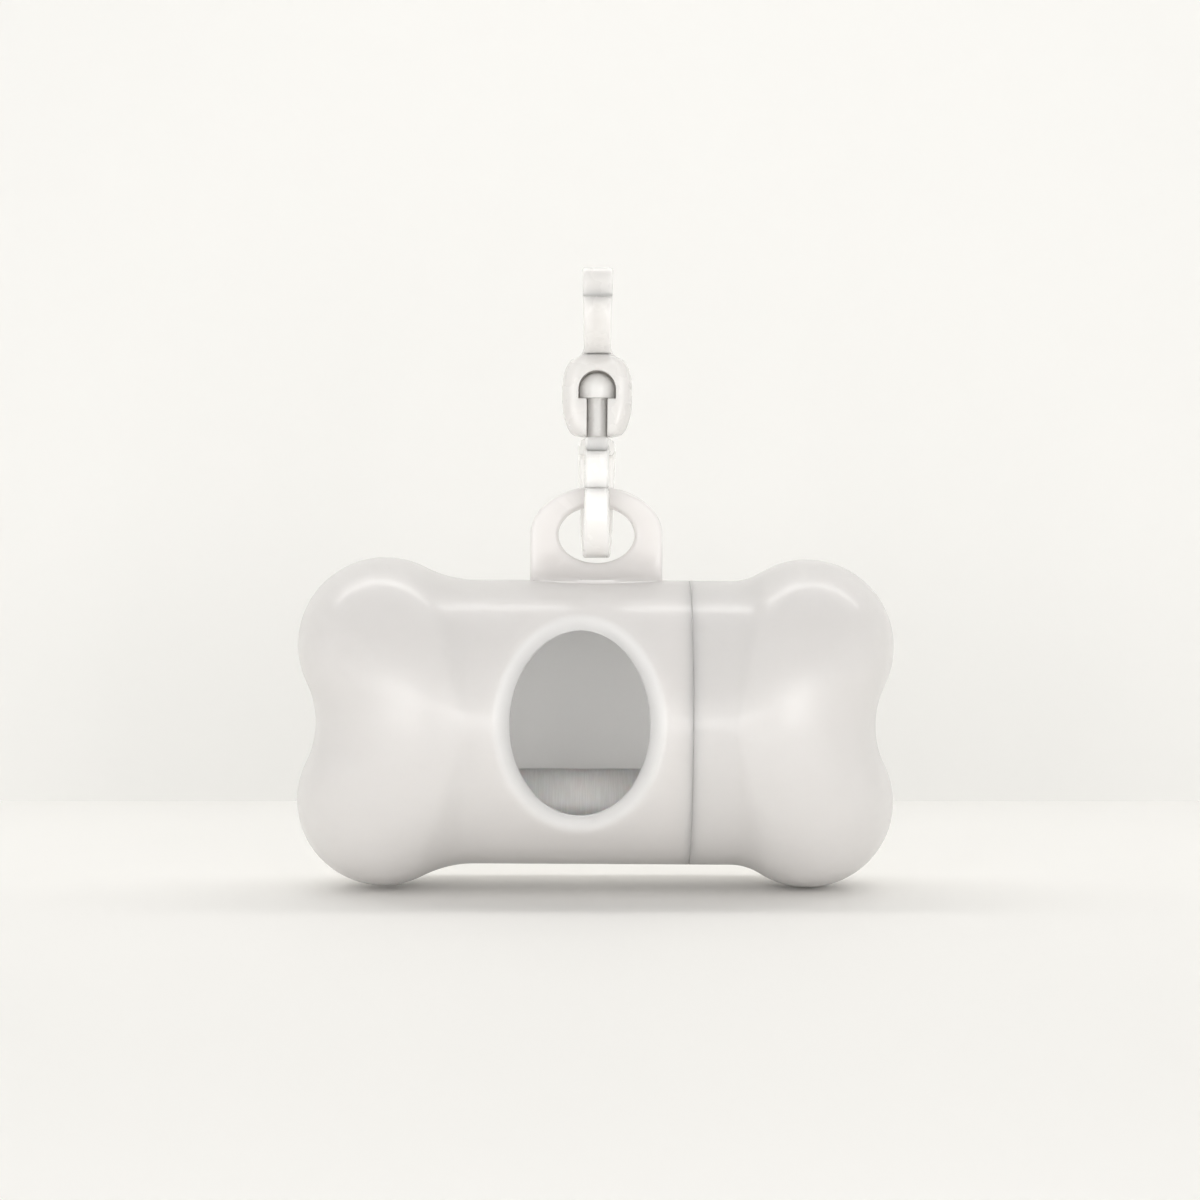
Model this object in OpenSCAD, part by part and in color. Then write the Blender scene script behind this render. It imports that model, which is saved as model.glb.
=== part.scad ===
// Bone-shaped dispenser for rolls of dog waste bags, hanging from a small swivel clip.
// The origin is the centre of the clip's upper throat. +Z is up, the window faces -Y and
// the end that pulls off is on +X. Everything below hangs from that throat in one line.

/* [Bone body] */
// Distance of each lobe's centre from the middle of the bone, along it
lobe_x = 29.7; // [28:0.1:34]
// Height of each lobe's centre above or below the bone's long axis
lobe_z = 11; // [10:0.1:12.5]
// Radius of the four lobes, seen from the front
lobe_r = 12.1; // [11.2:0.1:13]
// How far the notch between two lobes lies inside the lobes' outermost point
notch_depth = 2.74; // [1.5:0.01:4]
// Radius of the round waist
waist_r = 20; // [19:0.1:21]
// Radius of the sweep from the waist into the left lobes
sweep_left_r = 16; // [10:0.5:18]
// Radius of the sweep from the waist into the right lobes
sweep_right_r = 8; // [6:0.5:10]
// How full the lobes are in depth: 2 is round, more is squarer
lobe_fullness = 2.6; // [2:0.1:3]
// How fast the notch fades towards the front and the back of the lobes
notch_fade = 1.5; // [1:0.1:2]
// Thickness of the moulded walls
wall_t = 1.8; // [1.4:0.1:2.2]

/* [Pull-off end] */
// Place of the seam, to the right of the middle of the bone
seam_x = 13.1; // [12:0.1:15]
// Gap between the two rims at the seam
seam_gap = 0.06; // [0.04:0.02:0.3]
// Length of the spigot that reaches into the pull-off end
spigot_len = 7; // [5.5:0.1:8]
// Length of the spigot's root, inside the main shell
spigot_root = 4; // [3:0.1:5]
// Wall of the spigot
spigot_t = 1.3; // [1:0.05:1.6]
// Wall that is left outside the socket
socket_wall = 1.7; // [1.4:0.05:1.75]
// Radial gap between the spigot and its socket
socket_fit = 0.3; // [0.25:0.05:0.35]
// Place of the bead along the spigot, as a share of its length
bead_share = 0.62; // [0.55:0.01:0.65]
// Height of the bead that clicks into the socket's groove
bead_h = 0.12; // [0.08:0.02:0.16]
// Width of the bead
bead_w = 1.2; // [0.8:0.1:1.6]
// Width of the two keys that stop the end from turning
key_w = 4; // [3:0.1:5]
// Height of the keys above the spigot
key_h = 0.7; // [0.5:0.05:0.8]
// Length of the keys past the seam
key_len = 3; // [2.5:0.1:3.4]

/* [Bag window] */
// Place of the window's centre along the bone
window_x = -2.05; // [-4:0.05:0]
// Height of the window's centre above the bone's axis
window_z = 0.5; // [0:0.05:1]
// Half width of the window's crisp inner edge
window_half_w = 9.35; // [8:0.05:9.6]
// Half height of the window's crisp inner edge
window_half_h = 12.5; // [11:0.05:12.8]
// Width of the sloping rim round the window
rim_w = 2.1; // [1.5:0.1:2.4]
// Depth of the rim under the skin
rim_d = 1.3; // [1:0.05:1.5]

/* [Hanging lug] */
// Width of the lug along the bone
lug_w = 18.66; // [17.6:0.02:20]
// Height of the lug above the waist
lug_h = 13.2; // [12.8:0.1:14]
// Thickness of the lug's plate
lug_t = 3; // [2.6:0.1:3.2]
// Height of the lug's elliptical top
lug_dome = 6.8; // [5.5:0.1:7.5]
// Width of the eye
eye_w = 10.74; // [10:0.02:12]
// Height of the eye
eye_h = 8; // [7.6:0.1:8.4]
// Height of the bar over the eye
eye_bar = 2.8; // [2.4:0.1:3]
// How far the lug's foot flares forwards and backwards
foot_flare = 3; // [2.4:0.1:5]
// Height of the flare above the waist
foot_h = 4.6; // [4:0.1:5]

/* [Upper hook] */
// Inside radius of the hook's round throat
throat_r = 4.3; // [4:0.05:5]
// Thickness of the hook's ring
hook_t = 2.4; // [2.2:0.05:2.8]
// Width of the hook at the top
hook_w_top = 4.4; // [4:0.05:5]
// Width of the hook where it meets the barrel
hook_w_low = 3.8; // [3.4:0.05:4]
// Radius of the nose's front corner, seen from the side
hook_corner_r = 2.2; // [1.6:0.1:4]
// Height of that corner's centre above the throat's centre
hook_nose_z = 3.9; // [3.5:0.05:4.4]
// Height of the gate's tip above the throat's centre
hook_tip_z = 1.75; // [1:0.05:2.6]
// Angle of the gate's root below the throat's centre
hook_root_angle = 55; // [50:0.5:60]

/* [Swivel] */
// Radius of the barrel
barrel_r = 4.95; // [4.6:0.05:5.4]
// Distance from the barrel's axis to its flat front
barrel_front = 2.9; // [2.8:0.05:3.6]
// Radius of the barrel at its top and bottom
barrel_end_r = 2.8; // [2.6:0.05:3.2]
// Height of the barrel
barrel_h = 11.2; // [10.8:0.05:12]
// Where the barrel is widest, as a share of its height from its top
barrel_widest = 0.46; // [0.4:0.01:0.55]
// Height of the straight band where the barrel is widest
barrel_flat = 1.4; // [1:0.1:2]
// How deep the hook's ring is sunk into the barrel's top
barrel_sink = 0.7; // [0.5:0.05:1]
// Radius of the swivel post's round head
head_r = 2.55; // [2.3:0.05:2.8]
// Height of the straight part of the head
head_skirt = 1.25; // [1:0.05:1.5]
// Distance from the barrel's top to the top of the head
head_below_top = 2.1; // [1.8:0.05:2.5]
// Radius of the swivel post's neck
post_r = 1.375; // [1.2:0.025:1.5]
// Running gap between the post and the barrel
swivel_fit = 0.08; // [0.05:0.01:0.1]
// Gap between the barrel and the link's yoke
yoke_gap = 0.3; // [0.25:0.05:0.5]

/* [Lower link] */
// Inside half depth of the link
link_r = 3.4; // [3.2:0.05:3.8]
// Thickness of the link's limbs
link_t = 2.2; // [2:0.05:2.4]
// Length of the link's straight sides, from its top to its lower bend
link_sides = 11.2; // [10.8:0.1:12]
// Radius of the link's two upper corners, seen from the side
link_corner_r = 1.8; // [1.2:0.1:2.4]
// Width of the front limb at its top
front_w_top = 2.95; // [2.8:0.05:3.6]
// Width of the front limb at its bottom
front_w_low = 3.5; // [3.2:0.05:4]
// Width of the back limb at its top
back_w_top = 5.6; // [5:0.05:6]
// Width of the back limb at its bottom
back_w_low = 4.3; // [3.8:0.05:5]
// Height of the link gate's root below the link's top
link_root_drop = 2.65; // [2.6:0.05:3]
// Height of the link gate's tip below the link's top
link_tip_drop = 7.05; // [6.6:0.05:7.4]
// Height of the link's lowest point above the eye's lowest point
link_rise = 0.75; // [0.7:0.05:1.2]
// Gap at the tips of both gates
gate_gap = 0.12; // [0.1:0.02:0.3]
// Running gap round the roots of both gates
gate_fit = 0.1; // [0.08:0.01:0.15]

/* [Bag roll] */
// Length of the wound bags
roll_len = 60; // [56:0.5:62]
// Outside radius of what is left of the roll
roll_r = 4.9; // [4.7:0.1:12]
// Outside radius of the paper core
core_r = 4.1; // [3.6:0.05:4.4]
// Wall of the paper core
core_t = 0.8; // [0.6:0.05:1]
// How far the core sticks out of the bags at each end
core_proud = 0.5; // [0.3:0.1:1]
// Radial gap between the core and the bags
core_fit = 0.05; // [0.02:0.01:0.1]
// Gap between the roll and the spigot that it lies on
roll_gap = 0.3; // [0.25:0.05:0.5]

/* [Hidden] */

shell_colour = "#ebe8e3";
clip_colour = "#f1eee9";
core_colour = "#c9b596";
bag_colour = "#d8d6d0";

// How deep pieces of one moulding reach into each other
bond = 0.4;
// How far a cut runs past what it cuts, and the length of one that passes the whole clip
clear = 1;
through = 30;
// How far the lug's flare stays inside its plate, how deep its foot reaches into the waist
foot_inset = 0.2;
foot_sink = 5;
// Radius of the link's two inner corners
inner_corner_r = 0.3;
// How far a gate's knuckle stands out of its limb
knuckle_proud = 0.05;
// The notch never gets flatter than this
least_notch = 0.05;
// Facets of large and of small circles
round_fn = 96;
small_fn = 64;

// Heights, worked down from the throat's centre
hook_r = throat_r + hook_t;
barrel_top = barrel_sink - hook_r;
barrel_low = barrel_top - barrel_h;
yoke_top = barrel_low - yoke_gap;
link_outer_r = link_r + link_t;
bend_low = yoke_top - link_sides;
link_low = bend_low - link_outer_r;
eye_low = link_low - link_rise;
eye_z = eye_low + eye_h / 2;
lug_top = eye_z + eye_h / 2 + eye_bar;
waist_top = lug_top - lug_h;
bone_z = waist_top - waist_r;

// The barrel and the post's head
barrel_mid = barrel_top - barrel_h * barrel_widest;
head_top = barrel_top - head_below_top;
head_centre = head_top - head_r;
head_low = head_centre - head_skirt;

// The roots and tips of the two gates, as [y, z]
hook_mid_r = throat_r + hook_t / 2;
hook_root = hook_mid_r * [-cos(hook_root_angle), -sin(hook_root_angle)];
hook_reach = norm([-hook_r, hook_tip_z] - hook_root);
link_mid_r = link_r + link_t / 2;
link_root = [-link_mid_r, yoke_top - link_root_drop];
link_tip_z = yoke_top - link_tip_drop;
link_reach = norm([-link_outer_r, link_tip_z] - link_root);
hook_knuckle_r = hook_t / 2 + knuckle_proud;
link_knuckle_r = link_t / 2 + knuckle_proud;

// The spigot, its socket and the roll that lies in it
socket_r = waist_r - socket_wall;
spigot_r = socket_r - socket_fit;
spigot_bore_r = spigot_r - spigot_t;
spigot_end = seam_x + spigot_len;
bead_x = seam_x + spigot_len * bead_share;
roll_z = bone_z - (spigot_bore_r - roll_gap - roll_r);

// Steps of the smooth bone: rings over its depth, and points on each arc
ring_steps = 18;
arc_steps = [6, 16, 4];
cavity_steps = [4, 10, 2];
// Points round the window, the lug and its flared foot
window_points = 44;
lug_points = 48;
foot_points = 40;

// Points of an arc, leaving out the first one
function arc(c, r, a0, a1, n) =
    [for (i = [1:n]) c + r * [cos(a0 + (a1 - a0) * i / n), sin(a0 + (a1 - a0) * i / n)]];

// Upper quarter of the bone's outline from the waist to the notch, t under the skin.
// notch is the depth of the notch and n the number of steps of the sweep, lobe and notch.
function quarter(sweep_r, notch, t, n) =
    let (r = lobe_r - t)
    let (f = sweep_r + t)
    let (w = waist_r - t)
    let (a = r - notch)
    let (hollow_r = (a * a + lobe_z * lobe_z - r * r) / (2 * notch))
    let (dx = sqrt(pow(r + f, 2) - pow(w + f - lobe_z, 2)))
    let (sweep_c = [lobe_x - dx, w + f])
    let (lobe_c = [lobe_x, lobe_z])
    let (hollow_c = [lobe_x + a + hollow_r, 0])
    let (turn_1 = atan2(lobe_z - w - f, dx))
    let (turn_2 = atan2(-lobe_z, a + hollow_r))
    concat([[sweep_c[0], w]],
           arc(sweep_c, f, -90, turn_1, n[0]),
           arc(lobe_c, r, turn_1 + 180, turn_2, n[1]),
           arc(hollow_c, hollow_r, turn_2 + 180, 180, n[2]));

// A point of the outline at depth y: p is its way out from [x, 0], and it shrinks towards
// there. Across the bone the skin is round, and along it the skin is as full as the lobes.
function shrink(p, y, t) =
    let (away = norm(p[0]))
    let (full = away == 0 ? 2 : 2 + (lobe_fullness - 2) * pow(p[0][0] / away, 2))
    let (s = pow(1 - pow(abs(y) / (waist_r - t), full), 1 / full))
    [p[1] + s * p[0][0], y, s * p[0][1]];

// Half of a ring at depth y: the cut at x_cut, over the upper lobe and back under the lower.
// Away from y = 0 it shrinks towards the bone's axis, and the notch fades.
function half_ring(y, x_cut, sweep_r, t, n) =
    let (s0 = sqrt(1 - pow(y / (waist_r - t), 2)))
    let (q = quarter(sweep_r, max(least_notch, notch_depth * pow(s0, notch_fade)), t, n))
    let (x0 = q[0][0])
    let (top = concat([[x_cut, q[0][1]]], q))
    let (low = [for (i = [len(top) - 2:-1:0]) [top[i][0], -top[i][1]]])
    [for (p = concat(top, low))
        shrink(p[0] > x0 ? [[p[0] - x0, p[1]], x0] : [[0, p[1]], p[0]], y, t)];

// Rings of one half of the bone, front to back, without the two spines where they close
function half_rings(x_cut, sweep_r, t, n) =
    [for (i = [1:ring_steps - 1])
        half_ring((waist_r - t) * sin(180 * i / ring_steps - 90), x_cut, sweep_r, t, n)];

// The ends of the front spine and of the back spine, at the cut and where the sweep starts
function spines(x_cut, sweep_r, t, n) =
    let (x0 = quarter(sweep_r, notch_depth, t, n)[0][0])
    let (y = waist_r - t)
    [[x_cut, -y, 0], [x0, -y, 0], [x_cut, y, 0], [x0, y, 0]];

// All the points of a list of rings, in one list
function flat(rings) = [for (r = rings) each r];

// Quads between n rings of m points that start at point k0, split into triangles
function skin(n, m, k0) =
    [for (i = [0:n - 2], j = [0:m - 2])
        let (a = k0 + i * m + j)
        each [[a, a + m, a + 1], [a + 1, a + m, a + m + 1]]];

// Closes the ring that starts at point a on a spine that starts at point c
function spine_fan(a, m, c) =
    concat([[a, a + 1, c + 1], [a, c + 1, c], [a + m - 2, a + m - 1, c], [a + m - 2, c, c + 1]],
           [for (j = [1:m - 3]) [a + j, a + j + 1, c + 1]]);

// The same faces, seen from their other side
function turned(faces) = [for (f = faces) [f[0], f[2], f[1]]];

// One skin of a half: its rings from point k0 on, then its four spine ends
function half_skin(n, m, k0) =
    concat(skin(n, m, k0), spine_fan(k0, m, k0 + n * m),
           turned(spine_fan(k0 + (n - 1) * m, m, k0 + n * m + 2)));

// The points of a skin's edge at the cut, once round
function cut_edge(n, m, k0) =
    concat([k0 + n * m], [for (i = [0:n - 1]) k0 + i * m], [k0 + n * m + 2],
           [for (i = [n - 1:-1:0]) k0 + i * m + m - 1]);

// A moulded half of the bone, hollow and open at the seam, on the +X side
module hollow_half(x_cut, sweep_r) {
    outer = half_rings(x_cut, sweep_r, 0, arc_steps);
    inner = half_rings(x_cut, sweep_r, wall_t, cavity_steps);
    n = len(outer);
    m = len(outer[0]);
    k = len(inner[0]);
    k0 = n * m + 4;
    edge_out = cut_edge(n, m, 0);
    edge_in = cut_edge(n, k, k0);
    turns = len(edge_out);
    seam_face = [for (i = [0:turns - 1])
        let (j = (i + 1) % turns)
        each [[edge_out[i], edge_in[i], edge_out[j]], [edge_out[j], edge_in[i], edge_in[j]]]];
    polyhedron(points = concat(flat(outer), spines(x_cut, sweep_r, 0, arc_steps),
                               flat(inner), spines(x_cut, sweep_r, wall_t, cavity_steps)),
               faces = concat(half_skin(n, m, 0), turned(half_skin(n, k, k0)), seam_face),
               convexity = 10);
}

// Points of an ellipse
function ellipse(a, b, n) = [for (i = [0:n - 1]) [a * cos(360 * i / n), b * sin(360 * i / n)]];

// A closed solid through rings of equally many points
module loft(rings) {
    n = len(rings);
    m = len(rings[0]);
    low = [for (j = [0:m - 1]) j];
    high = [for (j = [m - 1:-1:0]) (n - 1) * m + j];
    sides = [for (i = [0:n - 2], j = [0:m - 1])
        let (a = i * m + j)
        let (b = i * m + (j + 1) % m)
        each [[a, a + m, b], [b, a + m, b + m]]];
    polyhedron(points = flat(rings), faces = concat([low, high], sides), convexity = 4);
}

// Extrudes a front view along Y, both ways from the middle
module along_y(depth) {
    translate([0, depth / 2, 0]) rotate([90, 0, 0]) linear_extrude(depth) children();
}

// Extrudes a side view, drawn as [y, z], along X, both ways from the middle
module along_x(width) {
    rotate([90, 0, 90]) linear_extrude(width, center = true) children();
}

// Turns a profile, drawn as [radius, x], about the bone's axis
module about_bone() {
    translate([0, 0, bone_z]) rotate([0, 90, 0]) rotate_extrude($fn = round_fn) children();
}

// What the window removes: its slope follows the round of the waist
module window_cut() {
    // Each step is a share of the rim's width and of its depth, from the bay outwards
    steps = [[0, -1], [0.45, -0.72], [1.4, 0.4]];
    function ring(grow, flat_y, sink) =
        [for (p = ellipse(window_half_w + grow, window_half_h + grow, window_points))
            let (z = p[1] + window_z)
            let (y = flat_y == undef ? -sqrt(pow(waist_r + sink, 2) - z * z) : flat_y)
            [p[0] + window_x, y, bone_z + z]];
    loft(concat([ring(0, -waist_r / 4)],
                [for (s = steps) ring(s[0] * rim_w, undef, s[1] * rim_d)],
                [ring(steps[2][0] * rim_w, -waist_r - 2 * clear)]));
}

// The lug's front view: straight sides under half an ellipse, reaching down into the wall
module lug_outline() {
    spring_z = lug_top - lug_dome;
    half = ellipse(lug_w / 2, lug_dome, lug_points);
    arch = [for (i = [0:lug_points / 2]) half[i] + [0, spring_z]];
    foot_z = waist_top - foot_sink;
    polygon(concat(arch, [[-lug_w / 2, foot_z], [lug_w / 2, foot_z]]));
}

// The flared foot under the lug, a quarter round in side view
module lug_foot() {
    steps = 5;
    loft([for (i = [-1:steps])
        let (up = max(0, i) / steps)
        let (half_t = lug_t / 2 + foot_flare * (1 - sqrt(1 - pow(1 - up, 2))))
        [for (p = ellipse(lug_w / 2 - foot_inset, half_t, foot_points))
            [p[0], p[1], i < 0 ? waist_top - foot_sink : waist_top + foot_h * up]]]);
}

// The D-shaped lug with its eye, hollowed below to the round of the waist
module lug() {
    difference() {
        union() {
            along_y(lug_t) lug_outline();
            lug_foot();
        }
        along_y(through) translate([0, eye_z]) polygon(ellipse(eye_w / 2, eye_h / 2, lug_points));
        translate([-lug_w, 0, bone_z]) rotate([0, 90, 0])
            cylinder(r = waist_r - wall_t / 2, h = 2 * lug_w, $fn = round_fn);
    }
}

// The spigot with its bead, drawn as [radius, x], with slopes at its root and its end
module spigot_outline() {
    root_x = seam_x - spigot_root;
    step_x = seam_x - seam_gap / 2 - bond;
    deep_r = waist_r - wall_t + bond;
    lead = spigot_t / 2;
    polygon([[spigot_bore_r, root_x + lead], [spigot_bore_r + lead, root_x], [deep_r, root_x],
             [deep_r, step_x],
             [spigot_r, step_x], [spigot_r, bead_x - bead_w / 2], [spigot_r + bead_h, bead_x],
             [spigot_r, bead_x + bead_w / 2], [spigot_r, spigot_end - lead],
             [spigot_r - lead / 2, spigot_end], [spigot_bore_r, spigot_end]]);
}

// The two keys, or the two keyways when grown by a gap; both reach into the spigot's wall
module keys(gap, from_x, to_x) {
    for (side = [-1, 1])
        translate([(from_x + to_x) / 2, 0, bone_z + side * (spigot_r + (key_h + gap - bond) / 2)])
            cube([to_x - from_x, key_w + 2 * gap, key_h + gap + bond], center = true);
}

module main_shell() {
    color(shell_colour) {
        difference() {
            translate([0, 0, bone_z]) mirror([1, 0, 0])
                hollow_half(-(seam_x - seam_gap / 2), sweep_left_r);
            window_cut();
        }
        lug();
        about_bone() spigot_outline();
        keys(0, seam_x - seam_gap / 2 - 2 * bond, seam_x + key_len);
    }
}

module end_cap() {
    cap_x = seam_x + seam_gap / 2;
    groove_w = bead_w / 2 + socket_fit;
    color(shell_colour) difference() {
        translate([0, 0, bone_z]) hollow_half(cap_x, sweep_right_r);
        about_bone() polygon([
            [0, cap_x - clear], [socket_r, cap_x - clear], [socket_r, bead_x - groove_w],
            [socket_r + bead_h, bead_x - groove_w / 2], [socket_r + bead_h, bead_x + groove_w / 2],
            [socket_r, bead_x + groove_w], [socket_r, spigot_end + socket_fit],
            [0, spigot_end + socket_fit]]);
        keys(socket_fit, cap_x - clear, seam_x + key_len + socket_fit);
    }
}

// The hook's side view: round, but with a squarer nose above the gate
module hook_side() {
    nose = [hook_corner_r - hook_r, hook_nose_z];
    top_turn = 2 * atan2(nose[1], nose[0]) - 180;
    top_way = [cos(top_turn), sin(top_turn)];
    difference() {
        union() {
            circle(r = hook_r, $fn = round_fn);
            translate(nose) circle(r = hook_corner_r, $fn = small_fn);
            polygon([[0, 0], hook_r * top_way, nose + hook_corner_r * top_way,
                     [-hook_r, hook_nose_z], [-hook_r, 0]]);
        }
        circle(r = throat_r, $fn = round_fn);
    }
}

// Side view of where the hook's gate lies: above its root and within its reach
module hook_gate_zone(grow, knuckle_grow) {
    translate(hook_root) circle(r = hook_knuckle_r + knuckle_grow, $fn = small_fn);
    intersection() {
        translate(hook_root) circle(r = hook_reach + grow, $fn = round_fn);
        polygon([[0, 0], (hook_r + clear) / hook_mid_r * hook_root,
                 [-2 * hook_r, hook_root[1]], [-2 * hook_r, hook_r], [0, hook_r]]);
    }
}

// The hook's front view, narrower at the bottom
module hook_front() {
    polygon([[-hook_w_top / 2, hook_r + clear], [-hook_w_low / 2, -hook_r - clear],
             [hook_w_low / 2, -hook_r - clear], [hook_w_top / 2, hook_r + clear]]);
}

// Radius of the barrel at height z: a straight middle between two rounded ends
function barrel_at(z) =
    let (above = z > barrel_mid)
    let (span = (above ? barrel_top - barrel_mid : barrel_mid - barrel_low) - barrel_flat / 2)
    let (u = min(1, max(0, abs(z - barrel_mid) - barrel_flat / 2) / span))
    barrel_end_r + (barrel_r - barrel_end_r) * sqrt(1 - u * u);

// Front view of the post's head or of the slot that takes it
module head_front(gap) {
    translate([0, head_centre]) circle(r = head_r + gap, $fn = small_fn);
    translate([-head_r - gap, head_low - gap]) square([2 * (head_r + gap), head_skirt + gap]);
}

module snap_hook() {
    bands = 16;
    post_bore = post_r + swivel_fit;
    head_bore = head_r + swivel_fit;
    color(clip_colour) difference() {
        union() {
            difference() {
                intersection() {
                    along_x(through) hook_side();
                    along_y(through) hook_front();
                }
                along_x(through) hook_gate_zone(gate_gap, gate_fit);
            }
            difference() {
                rotate_extrude($fn = round_fn) polygon(concat(
                    [[0, barrel_low], [barrel_end_r, barrel_low]],
                    [for (i = [1:bands]) let (z = barrel_low + barrel_h * i / bands)
                        [barrel_at(z), z]],
                    [[0, barrel_top]]));
                translate([0, -barrel_front - barrel_r, barrel_low + barrel_h / 2])
                    cube([2 * barrel_r + clear, 2 * barrel_r, barrel_h + clear], center = true);
            }
        }
        // The front slot that the post is pressed in through, and its round seat
        translate([0, -barrel_r, 0]) along_y(2 * barrel_r) head_front(swivel_fit);
        translate([-post_bore, -2 * barrel_r, barrel_low - clear])
            cube([2 * post_bore, 2 * barrel_r, head_low - barrel_low + 2 * clear]);
        translate([0, 0, head_centre]) sphere(r = head_bore, $fn = small_fn);
        translate([0, 0, head_low - swivel_fit]) cylinder(r = head_bore, h = head_skirt, $fn = small_fn);
        translate([0, 0, barrel_low - clear])
            cylinder(r = post_bore, h = barrel_h - clear, $fn = small_fn);
        along_x(through) translate(hook_root) circle(r = hook_knuckle_r + gate_fit, $fn = small_fn);
    }
}

module hook_gate() {
    color(clip_colour) intersection() {
        union() {
            along_x(through) intersection() {
                hook_side();
                hook_gate_zone(0, 0);
            }
            along_x(through) translate(hook_root) circle(r = hook_knuckle_r, $fn = small_fn);
        }
        along_y(through) hook_front();
    }
}

// Side view of the link's outline at half depth r: square above and round below
module link_side(r) {
    inset = link_outer_r - r;
    corner = max(link_corner_r - inset, inner_corner_r);
    top_z = yoke_top - inset;
    translate([0, bend_low]) circle(r = r, $fn = round_fn);
    translate([-r, bend_low]) square([2 * r, top_z - corner - bend_low]);
    translate([corner - r, bend_low]) square([2 * (r - corner), top_z - bend_low]);
    for (side = [-1, 1])
        translate([side * (r - corner), top_z - corner]) circle(r = corner, $fn = small_fn);
}

// What the link may fill: narrow in front and wide behind, each with its own taper
module link_wedge() {
    y0 = -link_outer_r - clear;
    y1 = link_outer_r + clear;
    section = function (z, wf, wb) [[-wf / 2, y0, z], [wf / 2, y0, z], [wb / 2, y1, z],
                                    [-wb / 2, y1, z]];
    loft([section(link_low - clear, front_w_low, back_w_low),
          section(yoke_top + clear, front_w_top, back_w_top)]);
}

// Side view of where the link's gate lies: below its root and within its reach
module link_gate_zone(grow, knuckle_grow, tip_z) {
    translate(link_root) circle(r = link_knuckle_r + knuckle_grow, $fn = small_fn);
    intersection() {
        translate(link_root) circle(r = link_reach + grow, $fn = round_fn);
        translate([-2 * link_outer_r, tip_z]) square([2 * link_outer_r, link_root[1] - tip_z]);
    }
}

module swivel_link() {
    color(clip_colour) {
        intersection() {
            along_x(through) difference() {
                link_side(link_outer_r);
                link_side(link_r);
                link_gate_zone(gate_gap, gate_fit, bend_low);
            }
            link_wedge();
        }
        translate([0, 0, yoke_top - link_t / 2])
            cylinder(r = post_r, h = head_low - yoke_top + link_t, $fn = small_fn);
        translate([0, 0, head_low]) cylinder(r = head_r, h = head_skirt, $fn = small_fn);
        intersection() {
            translate([0, 0, head_centre]) sphere(r = head_r, $fn = small_fn);
            translate([0, 0, head_low]) cylinder(r = head_r + clear, h = 2 * head_r + head_skirt);
        }
    }
}

module link_gate() {
    color(clip_colour) intersection() {
        along_x(through) {
            intersection() {
                difference() {
                    link_side(link_outer_r);
                    link_side(link_r);
                }
                link_gate_zone(0, 0, link_tip_z);
            }
            translate(link_root) circle(r = link_knuckle_r, $fn = small_fn);
        }
        link_wedge();
    }
}

// A tube that lies along the bone, centred on the roll's place
module lying_tube(r_in, r_out, length) {
    translate([0, 0, roll_z]) rotate([0, 90, 0]) difference() {
        cylinder(r = r_out, h = length, center = true, $fn = round_fn);
        cylinder(r = r_in, h = length + 2 * clear, center = true, $fn = round_fn);
    }
}

module roll_core() {
    color(core_colour) lying_tube(core_r - core_t, core_r, roll_len + 2 * core_proud);
}

module bag_roll() {
    color(bag_colour) lying_tube(core_r + core_fit, roll_r, roll_len);
}

main_shell();
end_cap();
snap_hook();
hook_gate();
swivel_link();
link_gate();
roll_core();
bag_roll();
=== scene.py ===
# %% [markdown]
# # A bone-shaped bag dispenser on a swivel clip
# This notebook dresses a finished engineering model. The frame below holds every moving body at
# its true size, and each cell after it makes one piece of the real object and hangs it there.

# %% Load the frame
import math

import bmesh
import bpy
import numpy as np
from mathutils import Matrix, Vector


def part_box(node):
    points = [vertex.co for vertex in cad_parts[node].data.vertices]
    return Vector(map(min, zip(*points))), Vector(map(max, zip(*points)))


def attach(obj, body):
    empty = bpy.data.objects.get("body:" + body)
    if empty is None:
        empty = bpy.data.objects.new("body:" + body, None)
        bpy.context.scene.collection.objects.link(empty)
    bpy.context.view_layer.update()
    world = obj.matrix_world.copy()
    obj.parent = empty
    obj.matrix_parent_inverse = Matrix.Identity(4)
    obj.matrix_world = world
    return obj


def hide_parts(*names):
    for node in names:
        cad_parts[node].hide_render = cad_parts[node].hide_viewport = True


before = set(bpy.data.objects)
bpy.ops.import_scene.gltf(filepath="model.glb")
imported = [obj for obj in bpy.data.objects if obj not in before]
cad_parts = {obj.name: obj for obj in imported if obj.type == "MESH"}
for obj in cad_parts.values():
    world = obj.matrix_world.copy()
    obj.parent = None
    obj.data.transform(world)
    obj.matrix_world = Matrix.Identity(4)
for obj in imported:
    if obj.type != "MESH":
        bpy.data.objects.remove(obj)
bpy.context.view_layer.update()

# %% [markdown]
# ## Sizes
# Everything is worked out in millimetres, in the frame's own axes: +X runs along the bone to the
# end that pulls off, -Y is the front and +Z is up. The origin is the centre of the hook's throat.
# The lug's top is read from the frame, so the bone sits where the engineering model has it. The
# window's sizes are half its width and half its height, at its crisp inner edge.

# %% The bone's driving sizes
MM = 0.001
LOBE_X, LOBE_Z, LOBE_R = 29.7, 11.0, 12.1
NOTCH = 2.74
WAIST_R = 20.0
SWEEP_LEFT, SWEEP_RIGHT = 16.0, 8.0
FULLNESS = 2.6
WALL = 1.8
SEAM_X, SEAM_GAP = 13.1, 0.06
WINDOW_X, WINDOW_Z = -2.05, 0.5
WINDOW_W, WINDOW_H = 9.35, 12.5
LUG_TOP_ABOVE_AXIS = 33.2
BONE_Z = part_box("main_shell")[1][2] / MM - LUG_TOP_ABOVE_AXIS
BONE_LOW = BONE_Z - LOBE_Z - LOBE_R
print("bone axis at z =", round(BONE_Z, 2), "mm, lowest point at", round(BONE_LOW, 2), "mm")

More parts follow.
